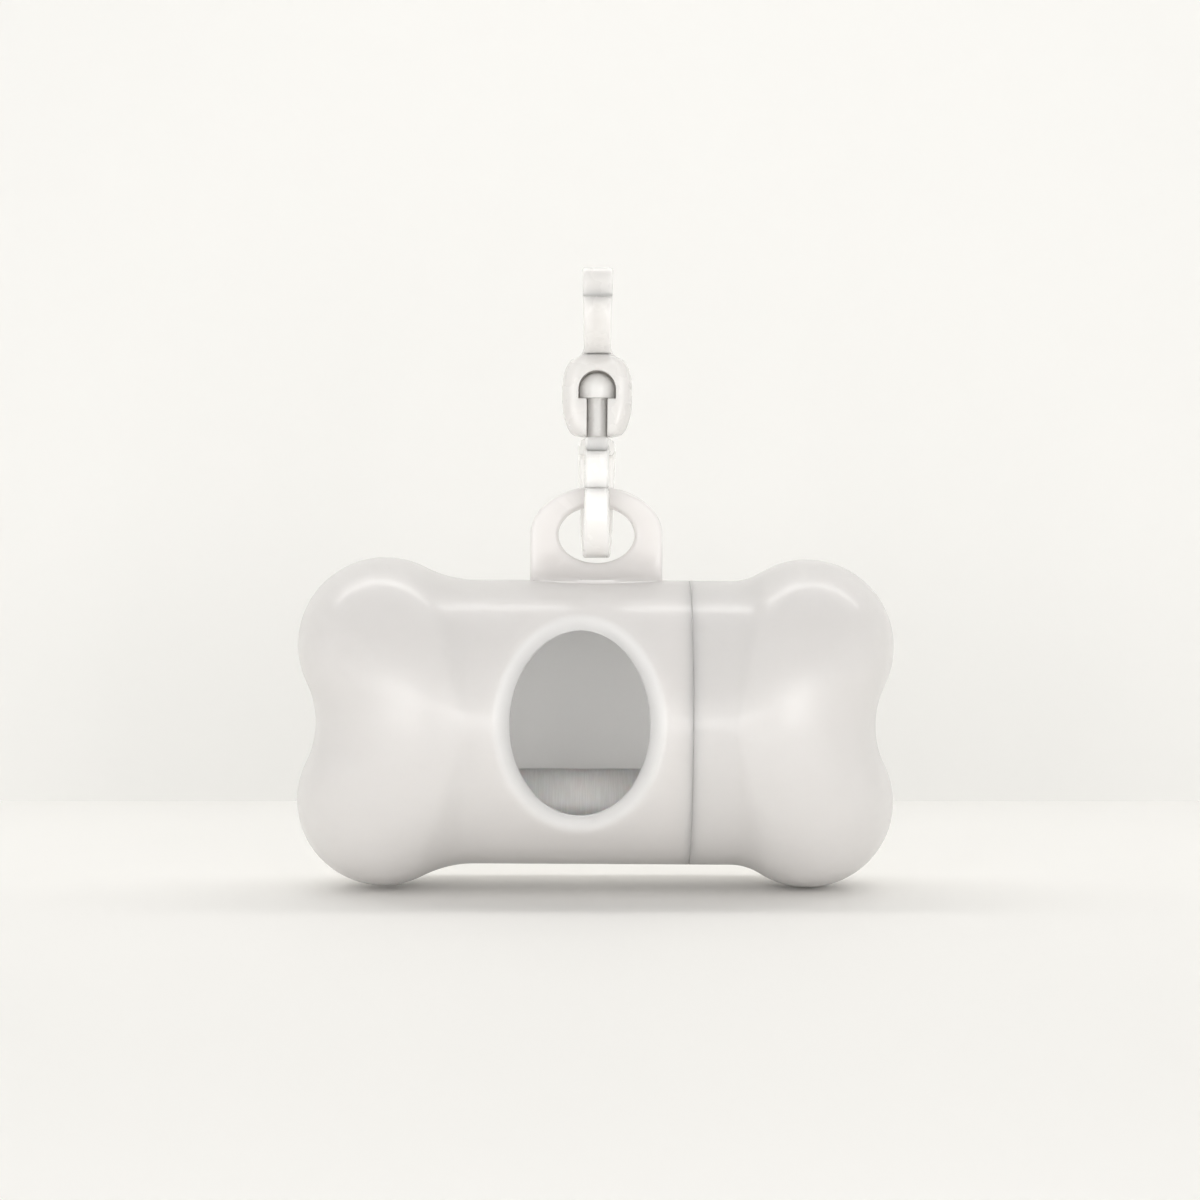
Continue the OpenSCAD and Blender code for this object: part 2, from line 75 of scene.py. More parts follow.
# %% [markdown]
# ## Grids of points
# A smooth moulding is easiest to keep smooth when its skin is a grid: rows of points that follow
# the form, with a quad between each four. Several grids can share a border, and points that lie
# on each other are welded when the piece is made, so the skin has no gaps.

# %% Helpers that make grids and pieces
RING_STEPS = 48
AROUND = 2 * RING_STEPS


def grid(rows, wrap=False):
    """The points of a grid and the quads between them; wrap joins the last column to the first."""
    rows = np.asarray(rows, float)
    n, m = rows.shape[:2]
    a = np.arange(n * m).reshape(n, m)
    b = np.roll(a, -1, axis=1)
    last = m if wrap else m - 1
    quads = np.stack([a[:-1], b[:-1], b[1:], a[1:]], axis=-1)[:, :last]
    return rows.reshape(-1, 3), quads.reshape(-1, 4)


def weld(name, grids):
    """One mesh from several grids, welded where they meet, with its faces turned outwards."""
    build = bmesh.new()
    for points, quads in grids:
        verts = [build.verts.new(p) for p in points * MM]
        for quad in quads:
            try:
                build.faces.new([verts[i] for i in quad])
            except ValueError:
                continue
    bmesh.ops.remove_doubles(build, verts=build.verts, dist=0.0015 * MM)
    bmesh.ops.dissolve_degenerate(build, edges=build.edges, dist=0.0005 * MM)
    bmesh.ops.recalc_face_normals(build, faces=build.faces)
    for face in build.faces:
        face.smooth = True
    mesh = bpy.data.meshes.new(name)
    build.to_mesh(mesh)
    build.free()
    piece = bpy.data.objects.new(name, mesh)
    bpy.context.scene.collection.objects.link(piece)
    return piece


def hang(piece, node, body, material):
    """Puts a piece in its node's place on its body, and gives it its finish."""
    piece.data.materials.clear()
    piece.data.materials.append(material)
    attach(piece, body)
    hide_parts(node)
    low = np.min([v.co for v in piece.data.vertices], axis=0) / MM
    high = np.max([v.co for v in piece.data.vertices], axis=0) / MM
    print(piece.name, "faces:", len(piece.data.polygons), "size in mm:", np.round(high - low, 2))


def combine(piece, tool, operation):
    """Joins the tool to the piece, or cuts it away, with exact intersections."""
    step = piece.modifiers.new(operation.title(), "BOOLEAN")
    step.object = tool
    step.operation = operation
    step.solver = "EXACT"
    shapes = bpy.context.evaluated_depsgraph_get()
    mesh = bpy.data.meshes.new_from_object(piece.evaluated_get(shapes))
    piece.modifiers.clear()
    piece.data = mesh
    bpy.data.objects.remove(tool)
    for face in mesh.polygons:
        face.use_smooth = True


def settle_normals(piece, angle=40):
    """Keeps broad faces even and edges crisper than the angle, in degrees, sharp."""
    piece.data.set_sharp_from_angle(angle=math.radians(angle))
    even = piece.modifiers.new("Even shading", "WEIGHTED_NORMAL")
    even.keep_sharp = True
    even.weight = 80


# %% [markdown]
# ## Moulded plastic
# Off-white moulded plastic looks plain, yet it is never one flat colour. Its skin carries a fine
# spark-eroded grain, the colour clouds faintly where the melt flowed, touched edges are polished
# and a little dust settles on what faces up. Each effect is a node group that is built once, so
# the shells and the clip share them with their own values.
#
# A few helpers come first. They make nodes and links in one line each, so that a group reads like
# a formula: noise of a known size in metres, a ramp from one range to another, simple sums.

# %% Helpers that place shader nodes
def group(name, inputs, outputs):
    """An empty shader node group with named sockets, and its two end nodes."""
    tree = bpy.data.node_groups.new(name, "ShaderNodeTree")
    for label, kind, value in inputs:
        socket = tree.interface.new_socket(name=label, in_out="INPUT", socket_type=kind)
        socket.default_value = value
    for label, kind in outputs:
        tree.interface.new_socket(name=label, in_out="OUTPUT", socket_type=kind)
    return tree, tree.nodes.new("NodeGroupInput"), tree.nodes.new("NodeGroupOutput")


def node(tree, kind, **settings):
    """A node with its settings; a key that is a number or a socket name sets that socket."""
    made = tree.nodes.new(kind)
    for key, value in settings.items():
        if hasattr(made, key):
            setattr(made, key, value)
        else:
            made.inputs[key.replace("_", " ")].default_value = value
    return made


def noise_at(tree, size, detail=2.0, roughness=0.5, stretch=(1, 1, 1)):
    """Noise whose blobs are about size metres wide, in the object's own space."""
    place = node(tree, "ShaderNodeTexCoord")
    spread = node(tree, "ShaderNodeMapping")
    spread.inputs["Scale"].default_value = [s / size for s in stretch]
    tree.links.new(place.outputs["Object"], spread.inputs["Vector"])
    made = node(tree, "ShaderNodeTexNoise", Scale=1.0, Detail=detail, Roughness=roughness)
    tree.links.new(spread.outputs["Vector"], made.inputs["Vector"])
    return made


def ramp(tree, source, low, high, out_low=0.0, out_high=1.0):
    """Maps a value from low..high to out_low..out_high, clamped and eased."""
    made = node(tree, "ShaderNodeMapRange", interpolation_type="SMOOTHSTEP")
    for key, value in (("From Min", low), ("From Max", high),
                       ("To Min", out_low), ("To Max", out_high)):
        made.inputs[key].default_value = value
    tree.links.new(source, made.inputs["Value"])
    return made.outputs["Result"]


def join(tree, operation, a, b):
    """A maths node between two sockets, or a socket and a number."""
    made = node(tree, "ShaderNodeMath", operation=operation)
    for slot, value in zip(made.inputs, (a, b)):
        if isinstance(value, (int, float)):
            slot.default_value = value
        else:
            tree.links.new(value, slot)
    return made.outputs["Value"]


def blend_colour(tree, factor, a, b, mode="MIX"):
    """A colour mix whose inputs are sockets or plain colours."""
    made = node(tree, "ShaderNodeMix", data_type="RGBA", blend_type=mode)
    for slot, value in ((made.inputs["Factor"], factor), (made.inputs[6], a), (made.inputs[7], b)):
        if isinstance(value, bpy.types.NodeSocket):
            tree.links.new(value, slot)
        else:
            slot.default_value = value
    return made.outputs[2]


def object_xyz(tree):
    """The place of a surface point in the object's own space, as separate X, Y and Z."""
    place = node(tree, "ShaderNodeTexCoord")
    parts = node(tree, "ShaderNodeSeparateXYZ")
    tree.links.new(place.outputs["Object"], parts.inputs["Vector"])
    return parts.outputs


# %% [markdown]
# The grain is what makes plastic look moulded and not painted: peaks a fifth of a millimetre wide
# on a swell of a few millimetres. It is only a height, which each material feeds to its own bump.
# The cloud makes a colour drift by about one part in a hundred, too little to see as a pattern.

# %% Grain and cloudy tone
def build_grain():
    """Height of a spark-eroded mould skin: fine peaks on a slow swell."""
    tree, given, result = group("Moulded grain", [("Swell", "NodeSocketFloat", 0.35)],
                                [("Height", "NodeSocketFloat")])
    fine = noise_at(tree, 0.00022, detail=3, roughness=0.6)
    swell = noise_at(tree, 0.0034, detail=1)
    part = join(tree, "MULTIPLY", swell.outputs["Fac"], given.outputs["Swell"])
    tree.links.new(join(tree, "ADD", fine.outputs["Fac"], part), result.inputs["Height"])
    return tree


def build_cloud():
    """A colour that drifts a little lighter and darker, as melt that flowed."""
    tree, given, result = group(
        "Cloudy tone", [("Colour", "NodeSocketColor", (0.8, 0.8, 0.8, 1)),
                        ("Amount", "NodeSocketFloat", 0.05)], [("Colour", "NodeSocketColor")])
    broad = noise_at(tree, 0.011, detail=3, roughness=0.55, stretch=(0.6, 1, 1))
    speck = noise_at(tree, 0.0007, detail=2)
    shade = ramp(tree, broad.outputs["Fac"], 0.3, 0.7, -1, 1)
    spots = ramp(tree, speck.outputs["Fac"], 0.72, 0.8, 0, -1.5)
    drift = join(tree, "MULTIPLY", join(tree, "ADD", shade, spots), given.outputs["Amount"])
    scale = join(tree, "ADD", drift, 1.0)
    tint = node(tree, "ShaderNodeVectorMath", operation="SCALE")
    tree.links.new(given.outputs["Colour"], tint.inputs[0])
    tree.links.new(scale, tint.inputs["Scale"])
    tree.links.new(tint.outputs["Vector"], result.inputs["Colour"])
    return tree


GRAIN, CLOUD = build_grain(), build_cloud()
print("node groups:", [t.name for t in (GRAIN, CLOUD)])

# %% [markdown]
# Wear and dust show where a part has been. Pointiness finds the rounded edges, which fingers
# polish, and noise breaks them up. Dust is a fine lint on the faces that look up.

# %% Rubbed edges and settled dust
def build_edges():
    """Mask of rounded edges that hands and pockets have rubbed, broken up by noise."""
    tree, given, result = group("Rubbed edges", [("Reach", "NodeSocketFloat", 0.06)],
                                [("Mask", "NodeSocketFloat")])
    shape = node(tree, "ShaderNodeNewGeometry")
    above = join(tree, "SUBTRACT", shape.outputs["Pointiness"], 0.5)
    edge = join(tree, "DIVIDE", above, given.outputs["Reach"])
    breaks = noise_at(tree, 0.0016, detail=3)
    worn = join(tree, "MULTIPLY", edge, ramp(tree, breaks.outputs["Fac"], 0.35, 0.6))
    mask = node(tree, "ShaderNodeClamp")
    tree.links.new(worn, mask.inputs["Value"])
    tree.links.new(mask.outputs["Result"], result.inputs["Mask"])
    return tree


def build_dust():
    """Mask of fine dust and lint, thickest on what faces up."""
    tree, given, result = group("Settled dust", [("Amount", "NodeSocketFloat", 0.3)],
                                [("Mask", "NodeSocketFloat")])
    shape = node(tree, "ShaderNodeNewGeometry")
    parts = node(tree, "ShaderNodeSeparateXYZ")
    tree.links.new(shape.outputs["Normal"], parts.inputs["Vector"])
    facing = ramp(tree, parts.outputs["Z"], 0.0, 0.9, 0.15, 1.0)
    lint = noise_at(tree, 0.00035, detail=4, roughness=0.7)
    patchy = noise_at(tree, 0.006, detail=2)
    grains = join(tree, "MULTIPLY", ramp(tree, lint.outputs["Fac"], 0.52, 0.7),
                  ramp(tree, patchy.outputs["Fac"], 0.35, 0.65, 0.3, 1.0))
    mask = join(tree, "MULTIPLY", join(tree, "MULTIPLY", grains, facing), given.outputs["Amount"])
    tree.links.new(mask, result.inputs["Mask"])
    return tree


DUST, EDGES = build_dust(), build_edges()
print("node groups:", [t.name for t in (DUST, EDGES)])

# %% [markdown]
# Two more masks are tied to places on the bone, and both paint light into the colour. Inside the
# roll bay the walls are painted paler, as painted light that lifts the shade of the hollow: that
# is everything within 18.5 mm of the bone's axis, which is just past the inner wall, over the
# middle 50 mm of the bone. The window's rim is painted paler too, a painted light band where its
# slope catches the light. It is an ellipse in front of the axis, whose border fades out where the
# rim meets the skin.

# %% Masks of the bay and of the window's rim
BAY_MASK_R, BAY_MASK_HALF = 18.5, 25.0
RIM_REACH = 2.3
RIM_FADE_IN, RIM_FADE_OUT = -0.12, 0.04


def build_bay():
    """Mask of the walls inside the roll bay, whose colour is painted paler as painted light."""
    tree, given, result = group("Inside the bay",
                                [("Radius", "NodeSocketFloat", BAY_MASK_R * MM)],
                                [("Mask", "NodeSocketFloat")])
    place = object_xyz(tree)
    above = join(tree, "SUBTRACT", place["Z"], BONE_Z * MM)
    square = join(tree, "ADD", join(tree, "MULTIPLY", above, above),
                  join(tree, "MULTIPLY", place["Y"], place["Y"]))
    away = join(tree, "POWER", square, 0.5)
    within = join(tree, "LESS_THAN", away, given.outputs["Radius"])
    along = join(tree, "ABSOLUTE", place["X"], 0.0)
    middle = join(tree, "LESS_THAN", along, BAY_MASK_HALF * MM)
    tree.links.new(join(tree, "MULTIPLY", within, middle), result.inputs["Mask"])
    return tree


def build_rim_light():
    """Mask of the window's rim, where light is painted into the colour: an ellipse in front, with a
    soft outer border.
    """
    tree, given, result = group("Painted light on window rim", [("Border", "NodeSocketFloat", 1.0)],
                                [("Mask", "NodeSocketFloat")])
    place = object_xyz(tree)
    across = join(tree, "DIVIDE", join(tree, "SUBTRACT", place["X"], WINDOW_X * MM),
                  (WINDOW_W + RIM_REACH) * MM)
    up = join(tree, "DIVIDE", join(tree, "SUBTRACT", place["Z"], (BONE_Z + WINDOW_Z) * MM),
              (WINDOW_H + RIM_REACH) * MM)
    square = join(tree, "ADD", join(tree, "MULTIPLY", across, across),
                  join(tree, "MULTIPLY", up, up))
    edge = join(tree, "SUBTRACT", square, given.outputs["Border"])
    near = ramp(tree, edge, RIM_FADE_IN, RIM_FADE_OUT, 1, 0)
    front = join(tree, "LESS_THAN", place["Y"], 0.0)
    tree.links.new(join(tree, "MULTIPLY", near, front), result.inputs["Mask"])
    return tree


BAY, RIM_LIGHT_MASK = build_bay(), build_rim_light()
print("node groups:", [t.name for t in (BAY, RIM_LIGHT_MASK)])

# %% [markdown]
# The material around those groups is one Principled shader. Its Subsurface has full weight and a
# soak depth of 4.5 mm, more than twice the wall, so light passes into and through the thin walls.
# That softens the shading and keeps the bay bright, as in thin off-white plastic. A weak clear
# coat gives the skin its sheen, and it is left off in the bay. Values that don't change over the
# surface sit on the shader's own sockets.

# %% Helpers that build materials
def place_group(tree, kind, **values):
    made = tree.nodes.new("ShaderNodeGroup")
    made.node_tree = kind
    for key, value in values.items():
        made.inputs[key].default_value = value
    return made


def new_material(name):
    made = bpy.data.materials.new(name)
    made.use_nodes = True
    return made, made.node_tree, made.node_tree.nodes["Principled BSDF"]


def add_bump(tree, shader, height, strength, distance):
    bump = node(tree, "ShaderNodeBump")
    bump.inputs["Strength"].default_value = strength
    bump.inputs["Distance"].default_value = distance
    tree.links.new(height, bump.inputs["Height"])
    tree.links.new(bump.outputs["Normal"], shader.inputs["Normal"])


# %% Moulded plastic of the shells and the clip
SOAK_DEPTH = 4.5 * MM
DUST_TONE = (0.62, 0.59, 0.55, 1)
# painted light: a pale tone that lifts the shade of the walls inside the bay
BAY_PAINTED_LIGHT_TONE = (0.96, 0.935, 0.925, 1)
# painted light: how far the rim's colour is lifted towards white
RIM_PAINTED_LIGHT = 0.6


def plastic(name, colour, roughness, grain_depth, swell, cloud, soak, dust):
    """Moulded plastic: clouded colour, rubbed edges, dust, painted light in the bay and on the
    window's rim, and a grain that is felt in bump.
    """
    made, tree, shader = new_material(name)
    tone = place_group(tree, CLOUD, Colour=(*colour, 1), Amount=cloud).outputs["Colour"]
    rubbed = place_group(tree, EDGES, Reach=0.05).outputs["Mask"]
    dusty = place_group(tree, DUST, Amount=dust).outputs["Mask"]
    lighter = [min(1.0, c * 1.05) for c in colour] + [1]
    painted_rim_tone = [c + 0.6 * (1 - c) for c in colour] + [1]
    tone = blend_colour(tree, join(tree, "MULTIPLY", rubbed, 0.5), tone, lighter)
    tone = blend_colour(tree, dusty, tone, DUST_TONE)
    # painted light: the walls inside the bay are painted paler than their shade; the same mask also
    # makes them matt and leaves off the coat
    in_bay = place_group(tree, BAY).outputs["Mask"]
    tone = blend_colour(tree, in_bay, tone, BAY_PAINTED_LIGHT_TONE)
    # painted light: the window's rim is painted paler, a band of light on its sloping face
    painted_rim_light = join(tree, "MULTIPLY", place_group(tree, RIM_LIGHT_MASK).outputs["Mask"], RIM_PAINTED_LIGHT)
    tone = blend_colour(tree, painted_rim_light, tone, painted_rim_tone)
    tree.links.new(tone, shader.inputs["Base Color"])
    patches = noise_at(tree, 0.004, detail=3)
    rough = ramp(tree, patches.outputs["Fac"], 0.3, 0.7, roughness - 0.04, roughness + 0.05)
    rough = join(tree, "SUBTRACT", rough, join(tree, "MULTIPLY", rubbed, 0.08))
    rough = join(tree, "ADD", rough, join(tree, "MULTIPLY", dusty, 0.35))
    rough = join(tree, "ADD", rough, join(tree, "MULTIPLY", in_bay, 0.25))
    tree.links.new(rough, shader.inputs["Roughness"])
    height = place_group(tree, GRAIN, Swell=swell).outputs["Height"]
    add_bump(tree, shader, height, 0.35, grain_depth)
    shader.inputs["Subsurface Weight"].default_value = soak
    shader.inputs["Subsurface Radius"].default_value = (1.0, 1.0, 1.0)
    shader.inputs["Subsurface Scale"].default_value = SOAK_DEPTH
    shader.inputs["IOR"].default_value = 1.49
    tree.links.new(ramp(tree, in_bay, 0, 1, 0.35, 0), shader.inputs["Coat Weight"])
    shader.inputs["Coat Roughness"].default_value = 0.12
    return made


SHELL_PLASTIC = plastic("shell_plastic", (0.69, 0.67, 0.66), 0.36, 0.02 * MM, 0.5,
                        0.012, 1.0, 0.12)
CLIP_PLASTIC = plastic("clip_plastic", (0.69, 0.675, 0.66), 0.27, 0.008 * MM, 0.9,
                       0.010, 1.0, 0.10)
# painted light: the link's plastic is painted paler than the hook's to lift the shade of the
# barrel's slot
LINK_PLASTIC_PAINTED_LIGHTER = plastic("link_plastic_painted_lighter", (0.81, 0.795, 0.775), 0.27, 0.008 * MM, 0.9,
                       0.010, 1.0, 0.08)
print("plastics:", [m.name for m in (SHELL_PLASTIC, CLIP_PLASTIC, LINK_PLASTIC_PAINTED_LIGHTER)])

# %% [markdown]
# The core is plain board and the bags are thin film, and neither is moulded, so they get their
# own short materials. Board is felted fibres, matt and brown. The wound film shows fine lines
# along its turns, and its gloss changes from fold to fold.

# %% Core board and bag film
def board():
    """Brown core board with felted fibres."""
    made, tree, shader = new_material("core_card")
    fibres = noise_at(tree, 0.0006, detail=5, roughness=0.7, stretch=(0.35, 1, 1))
    tone = blend_colour(tree, ramp(tree, fibres.outputs["Fac"], 0.3, 0.75),
                        (0.47, 0.36, 0.25, 1), (0.68, 0.55, 0.40, 1))
    tree.links.new(tone, shader.inputs["Base Color"])
    shader.inputs["Roughness"].default_value = 0.9
    add_bump(tree, shader, fibres.outputs["Fac"], 0.6, 0.05 * MM)
    return made


def film():
    """Thin pale film: hazy, wound in fine lines, with the milky gloss of stacked layers."""
    made, tree, shader = new_material("bag_film")
    lines = noise_at(tree, 0.0005, detail=3, stretch=(3.0, 0.15, 0.15))
    folds = noise_at(tree, 0.004, detail=3, stretch=(0.5, 1, 1))
    tone = blend_colour(tree, ramp(tree, lines.outputs["Fac"], 0.35, 0.7),
                        (0.84, 0.82, 0.805, 1), (0.91, 0.895, 0.88, 1))
    tree.links.new(tone, shader.inputs["Base Color"])
    tree.links.new(ramp(tree, folds.outputs["Fac"], 0.3, 0.7, 0.28, 0.46),
                   shader.inputs["Roughness"])
    height = join(tree, "ADD", lines.outputs["Fac"], folds.outputs["Fac"])
    add_bump(tree, shader, height, 0.5, 0.05 * MM)
    shader.inputs["Subsurface Weight"].default_value = 0.2
    shader.inputs["Subsurface Scale"].default_value = 1.0 * MM
    return made


CORE_CARD, BAG_FILM = board(), film()
print("roll materials:", [m.name for m in (CORE_CARD, BAG_FILM)])

# %% [markdown]
# ## The bone's outline
# Seen from the front the bone is nothing but arcs: four round lobes, a sweep from each lobe into
# the waist, and a shallow hollow between the two lobes of an end. A wall is the same outline a
# little further in, so one function with an inset draws the outside and the inside.

# %% Outline of one quarter of the bone
SWEEP_STEPS, LOBE_STEPS, NOTCH_STEPS = 12, 34, 8
NOTCH_FADE, LEAST_NOTCH = 1.5, 0.05


def arc(centre, radius, start, end, steps):
    """Points on an arc, after its first point, with angles in degrees."""
    turn = np.radians(start + (end - start) * np.arange(1, steps + 1) / steps)
    return np.stack([centre[0] + radius * np.cos(turn), centre[1] + radius * np.sin(turn)], 1)


def quarter(sweep, notch, inset):
    """Upper right quarter of the outline as [x, z], from the waist to the notch."""
    r, f, w = LOBE_R - inset, sweep + inset, WAIST_R - inset
    a = r - notch
    hollow = (a * a + LOBE_Z ** 2 - r * r) / (2 * notch)
    across = math.sqrt((r + f) ** 2 - (w + f - LOBE_Z) ** 2)
    sweep_centre = (LOBE_X - across, w + f)
    turn_1 = math.degrees(math.atan2(LOBE_Z - w - f, across))
    turn_2 = math.degrees(math.atan2(-LOBE_Z, a + hollow))
    return np.concatenate([
        [[sweep_centre[0], w]],
        arc(sweep_centre, f, -90, turn_1, SWEEP_STEPS),
        arc((LOBE_X, LOBE_Z), r, turn_1 + 180, turn_2, LOBE_STEPS),
        arc((LOBE_X + a + hollow, 0), hollow, turn_2 + 180, 180, NOTCH_STEPS)])


LEFT_START = -quarter(SWEEP_LEFT, NOTCH, 0)[0][0]
RIGHT_START = quarter(SWEEP_RIGHT, NOTCH, 0)[0][0]
print("round waist from x =", round(LEFT_START, 2), "to", round(RIGHT_START, 2), "mm")

# %% [markdown]
# An end of the bone is this outline again and again, from the front of the bone to its back.
# Each row shrinks towards the bone's axis as it leaves the middle. Across the bone it shrinks
# like a circle, and along the bone a little later, which makes the lobes full. The notch fades on
# the way. The seam parts are simpler: they are round, so a profile is turned about the axis.

# %% Skins of the two ends, and turned parts
def end_skin(side, sweep, inset):
    """Grid of one end of the bone; side is 1 for the right end and -1 for the left."""
    depth = WAIST_R - inset
    rows = []
    for lift in np.linspace(-90, 90, RING_STEPS + 1):
        y, fade = depth * math.sin(math.radians(lift)), max(0.0, math.cos(math.radians(lift)))
        half = quarter(sweep, max(LEAST_NOTCH, NOTCH * fade ** NOTCH_FADE), inset)
        loop = np.concatenate([half, half[-2::-1] * [1, -1]])
        start = half[0][0]
        away = loop - [start, 0]
        full = 2 + (FULLNESS - 2) * (away[:, 0] / np.linalg.norm(away, axis=1)) ** 2
        share = np.clip(1 - (abs(y) / depth) ** full, 0, 1) ** (1 / full)
        rows.append(np.stack([side * (start + share * away[:, 0]), np.full(len(loop), y),
                              BONE_Z + share * away[:, 1]], 1))
    return grid(rows)


def lathe(profile):
    """Grid of a profile, drawn as (x, radius), turned about the bone's axis."""
    turn = np.radians(np.arange(AROUND) * 360 / AROUND)
    rows = [np.stack([np.full(AROUND, x), -r * np.cos(turn), BONE_Z + r * np.sin(turn)], 1)
            for x, r in profile]
    return grid(rows, wrap=True)


print("rows of an end's skin:", RING_STEPS + 1, "- points round a turned part:", AROUND)

# %% [markdown]
# ## The window
# The window is an ellipse cut through a round wall. If the wall were cut with a boolean, its
# long thin faces would spoil the highlight. Here the wall's grid is woven round the ellipse
# instead: rings of points change step by step from the ellipse to the grid's own rectangle. The
# rim rolls in from the skin to a crisp edge. Each pair in RIM says how far out from that edge a
# ring lies, and how deep under the skin.

# %% Grids round the window
PATCH_TURN = 60
PATCH_COLUMNS = 26
PATCH_STEPS, PATCH_CROWDING = 12, 0.85
PATCH_END_OUT, PATCH_END_IN = 12.4, 8.4
RIM = [(2.9, 0.0), (2.5, -0.02), (2.15, -0.09), (1.8, -0.22), (1.35, -0.46), (0.9, -0.74),
       (0.5, -0.98), (0.22, -1.12), (0.07, -1.24), (0.0, -1.4), (0.0, -1.58), (0.06, -1.72),
       (0.22, -1.8)]


def rectangle(low_x, high_x):
    """The patch's border as (x, turn in degrees), once round from its lower left corner."""
    side = np.linspace(-PATCH_TURN, PATCH_TURN, round(2 * PATCH_TURN * AROUND / 360) + 1)
    along = np.linspace(low_x, high_x, PATCH_COLUMNS + 1)
    return np.concatenate([[(x, -PATCH_TURN) for x in along[:-1]],
                           [(high_x, t) for t in side[:-1]],
                           [(x, PATCH_TURN) for x in along[:0:-1]],
                           [(low_x, t) for t in side[:0:-1]]])


def ellipse_turns(border):
    """Where on the ellipse each border point belongs."""
    rise = WAIST_R * np.sin(np.radians(border[:, 1])) - WINDOW_Z
    return np.arctan2(rise / WINDOW_H, (border[:, 0] - WINDOW_X) / WINDOW_W)


def ellipse_ring(turns, grow, sink):
    """The ellipse, grown and sunk under the skin, on the round of the waist."""
    x = WINDOW_X + (WINDOW_W + grow) * np.cos(turns)
    z = WINDOW_Z + (WINDOW_H + grow) * np.sin(turns)
    return np.stack([x, -np.sqrt((WAIST_R + sink) ** 2 - z * z), BONE_Z + z], 1)


def patch(border, turns, grow, sink):
    """Grid from the grown ellipse out to the border, on a round of radius WAIST_R + sink."""
    radius = WAIST_R + sink
    ring = ellipse_ring(turns, grow, sink)
    inner = np.stack([ring[:, 0], np.degrees(np.arcsin((ring[:, 2] - BONE_Z) / radius))], 1)
    rows = []
    for share in np.linspace(0, 1, PATCH_STEPS + 1) ** PATCH_CROWDING:
        mixed = inner + (border - inner) * share
        turn = np.radians(mixed[:, 1])
        rows.append(np.stack([mixed[:, 0], -radius * np.cos(turn),
                              BONE_Z + radius * np.sin(turn)], 1))
    return grid(rows, wrap=True)


def back_of_waist(low_x, high_x, radius):
    """Grid of the waist behind the patch, with the same columns."""
    turn = np.radians(np.arange(PATCH_TURN, 360 - PATCH_TURN + 0.1, 360 / AROUND))
    rows = [np.stack([np.full(len(turn), x), -radius * np.cos(turn),
                      BONE_Z + radius * np.sin(turn)], 1)
            for x in np.linspace(low_x, high_x, PATCH_COLUMNS + 1)]
    return grid(rows)


OUTER_BORDER = rectangle(LEFT_START, PATCH_END_OUT)
INNER_BORDER = rectangle(LEFT_START, PATCH_END_IN)
TURNS = ellipse_turns(OUTER_BORDER)
print("points round the window:", len(TURNS))

# %% [markdown]
# ## Seam, spigot and socket
# The right end slips over a thin spigot that stands out of the main shell. Both are turned
# shapes, so a profile of (x, radius) pairs is enough. The two rims at the seam are rounded over
# by 0.07 mm, which is what makes the seam read as a fine groove. Just under the rounding they
# lean together until they almost touch, so that the seam isn't a slit that lets light through.

# %% Profiles at the seam
SPIGOT_R, SPIGOT_BORE = 18.0, 16.7
SOCKET_R = 18.3
SPIGOT_END, SPIGOT_ROOT = SEAM_X + 7.0, SEAM_X - 4.0
BEAD_X, BEAD_H = SEAM_X + 4.34, 0.12
SHELL_EDGE = SEAM_X - SEAM_GAP / 2
CAP_EDGE = SEAM_X + SEAM_GAP / 2
RIM_ROUND = 0.07
SEAM_LEAN = 0.004


def rounded(x, r, turn_x, turn_r, size, steps=4):
    """A quarter round between a wall along X and a face across it, at the corner (x, r)."""
    q = np.radians(np.linspace(0, 90, steps + 1))
    return [(x - turn_x * size * (1 - math.sin(a)), r - turn_r * size * (1 - math.cos(a)))
            for a in q]


def leaning_rim(edge, lean_x):
    """A rim's face under its rounding: out towards the other rim, and back to its own place."""
    return [(lean_x, WAIST_R - 0.16), (lean_x, WAIST_R - 0.4), (edge, WAIST_R - 0.8)]


SHELL_PROFILE = (
    [(PATCH_END_OUT, WAIST_R), (PATCH_END_OUT + 0.3, WAIST_R)]
    + rounded(SHELL_EDGE, WAIST_R, 1, 1, RIM_ROUND)
    + leaning_rim(SHELL_EDGE, SEAM_X - SEAM_LEAN)
    + [(SHELL_EDGE, SPIGOT_R + 0.5), (SHELL_EDGE - 0.3, SPIGOT_R + 0.1),
       (SHELL_EDGE - 0.2, SPIGOT_R)]
    + [(x, SPIGOT_R) for x in np.linspace(SHELL_EDGE, BEAD_X - 0.6, 5)]
    + [(BEAD_X - 0.3, SPIGOT_R + 0.75 * BEAD_H), (BEAD_X, SPIGOT_R + BEAD_H),
       (BEAD_X + 0.3, SPIGOT_R + 0.75 * BEAD_H)]
    + [(BEAD_X + 0.6, SPIGOT_R), (SPIGOT_END - 0.7, SPIGOT_R), (SPIGOT_END - 0.25, SPIGOT_R - 0.1),
       (SPIGOT_END, SPIGOT_R - 0.4), (SPIGOT_END, SPIGOT_BORE + 0.4),
       (SPIGOT_END - 0.1, SPIGOT_BORE + 0.12), (SPIGOT_END - 0.35, SPIGOT_BORE)]
    + [(x, SPIGOT_BORE) for x in np.linspace(SPIGOT_END - 1.5, SPIGOT_ROOT + 0.8, 8)]
    + [(SPIGOT_ROOT + 0.3, SPIGOT_BORE + 0.2), (SPIGOT_ROOT, SPIGOT_BORE + 0.6),
       (SPIGOT_ROOT - 0.1, WAIST_R - WALL - 0.3), (SPIGOT_ROOT - 0.35, WAIST_R - WALL - 0.05),
       (PATCH_END_IN, WAIST_R - WALL)])

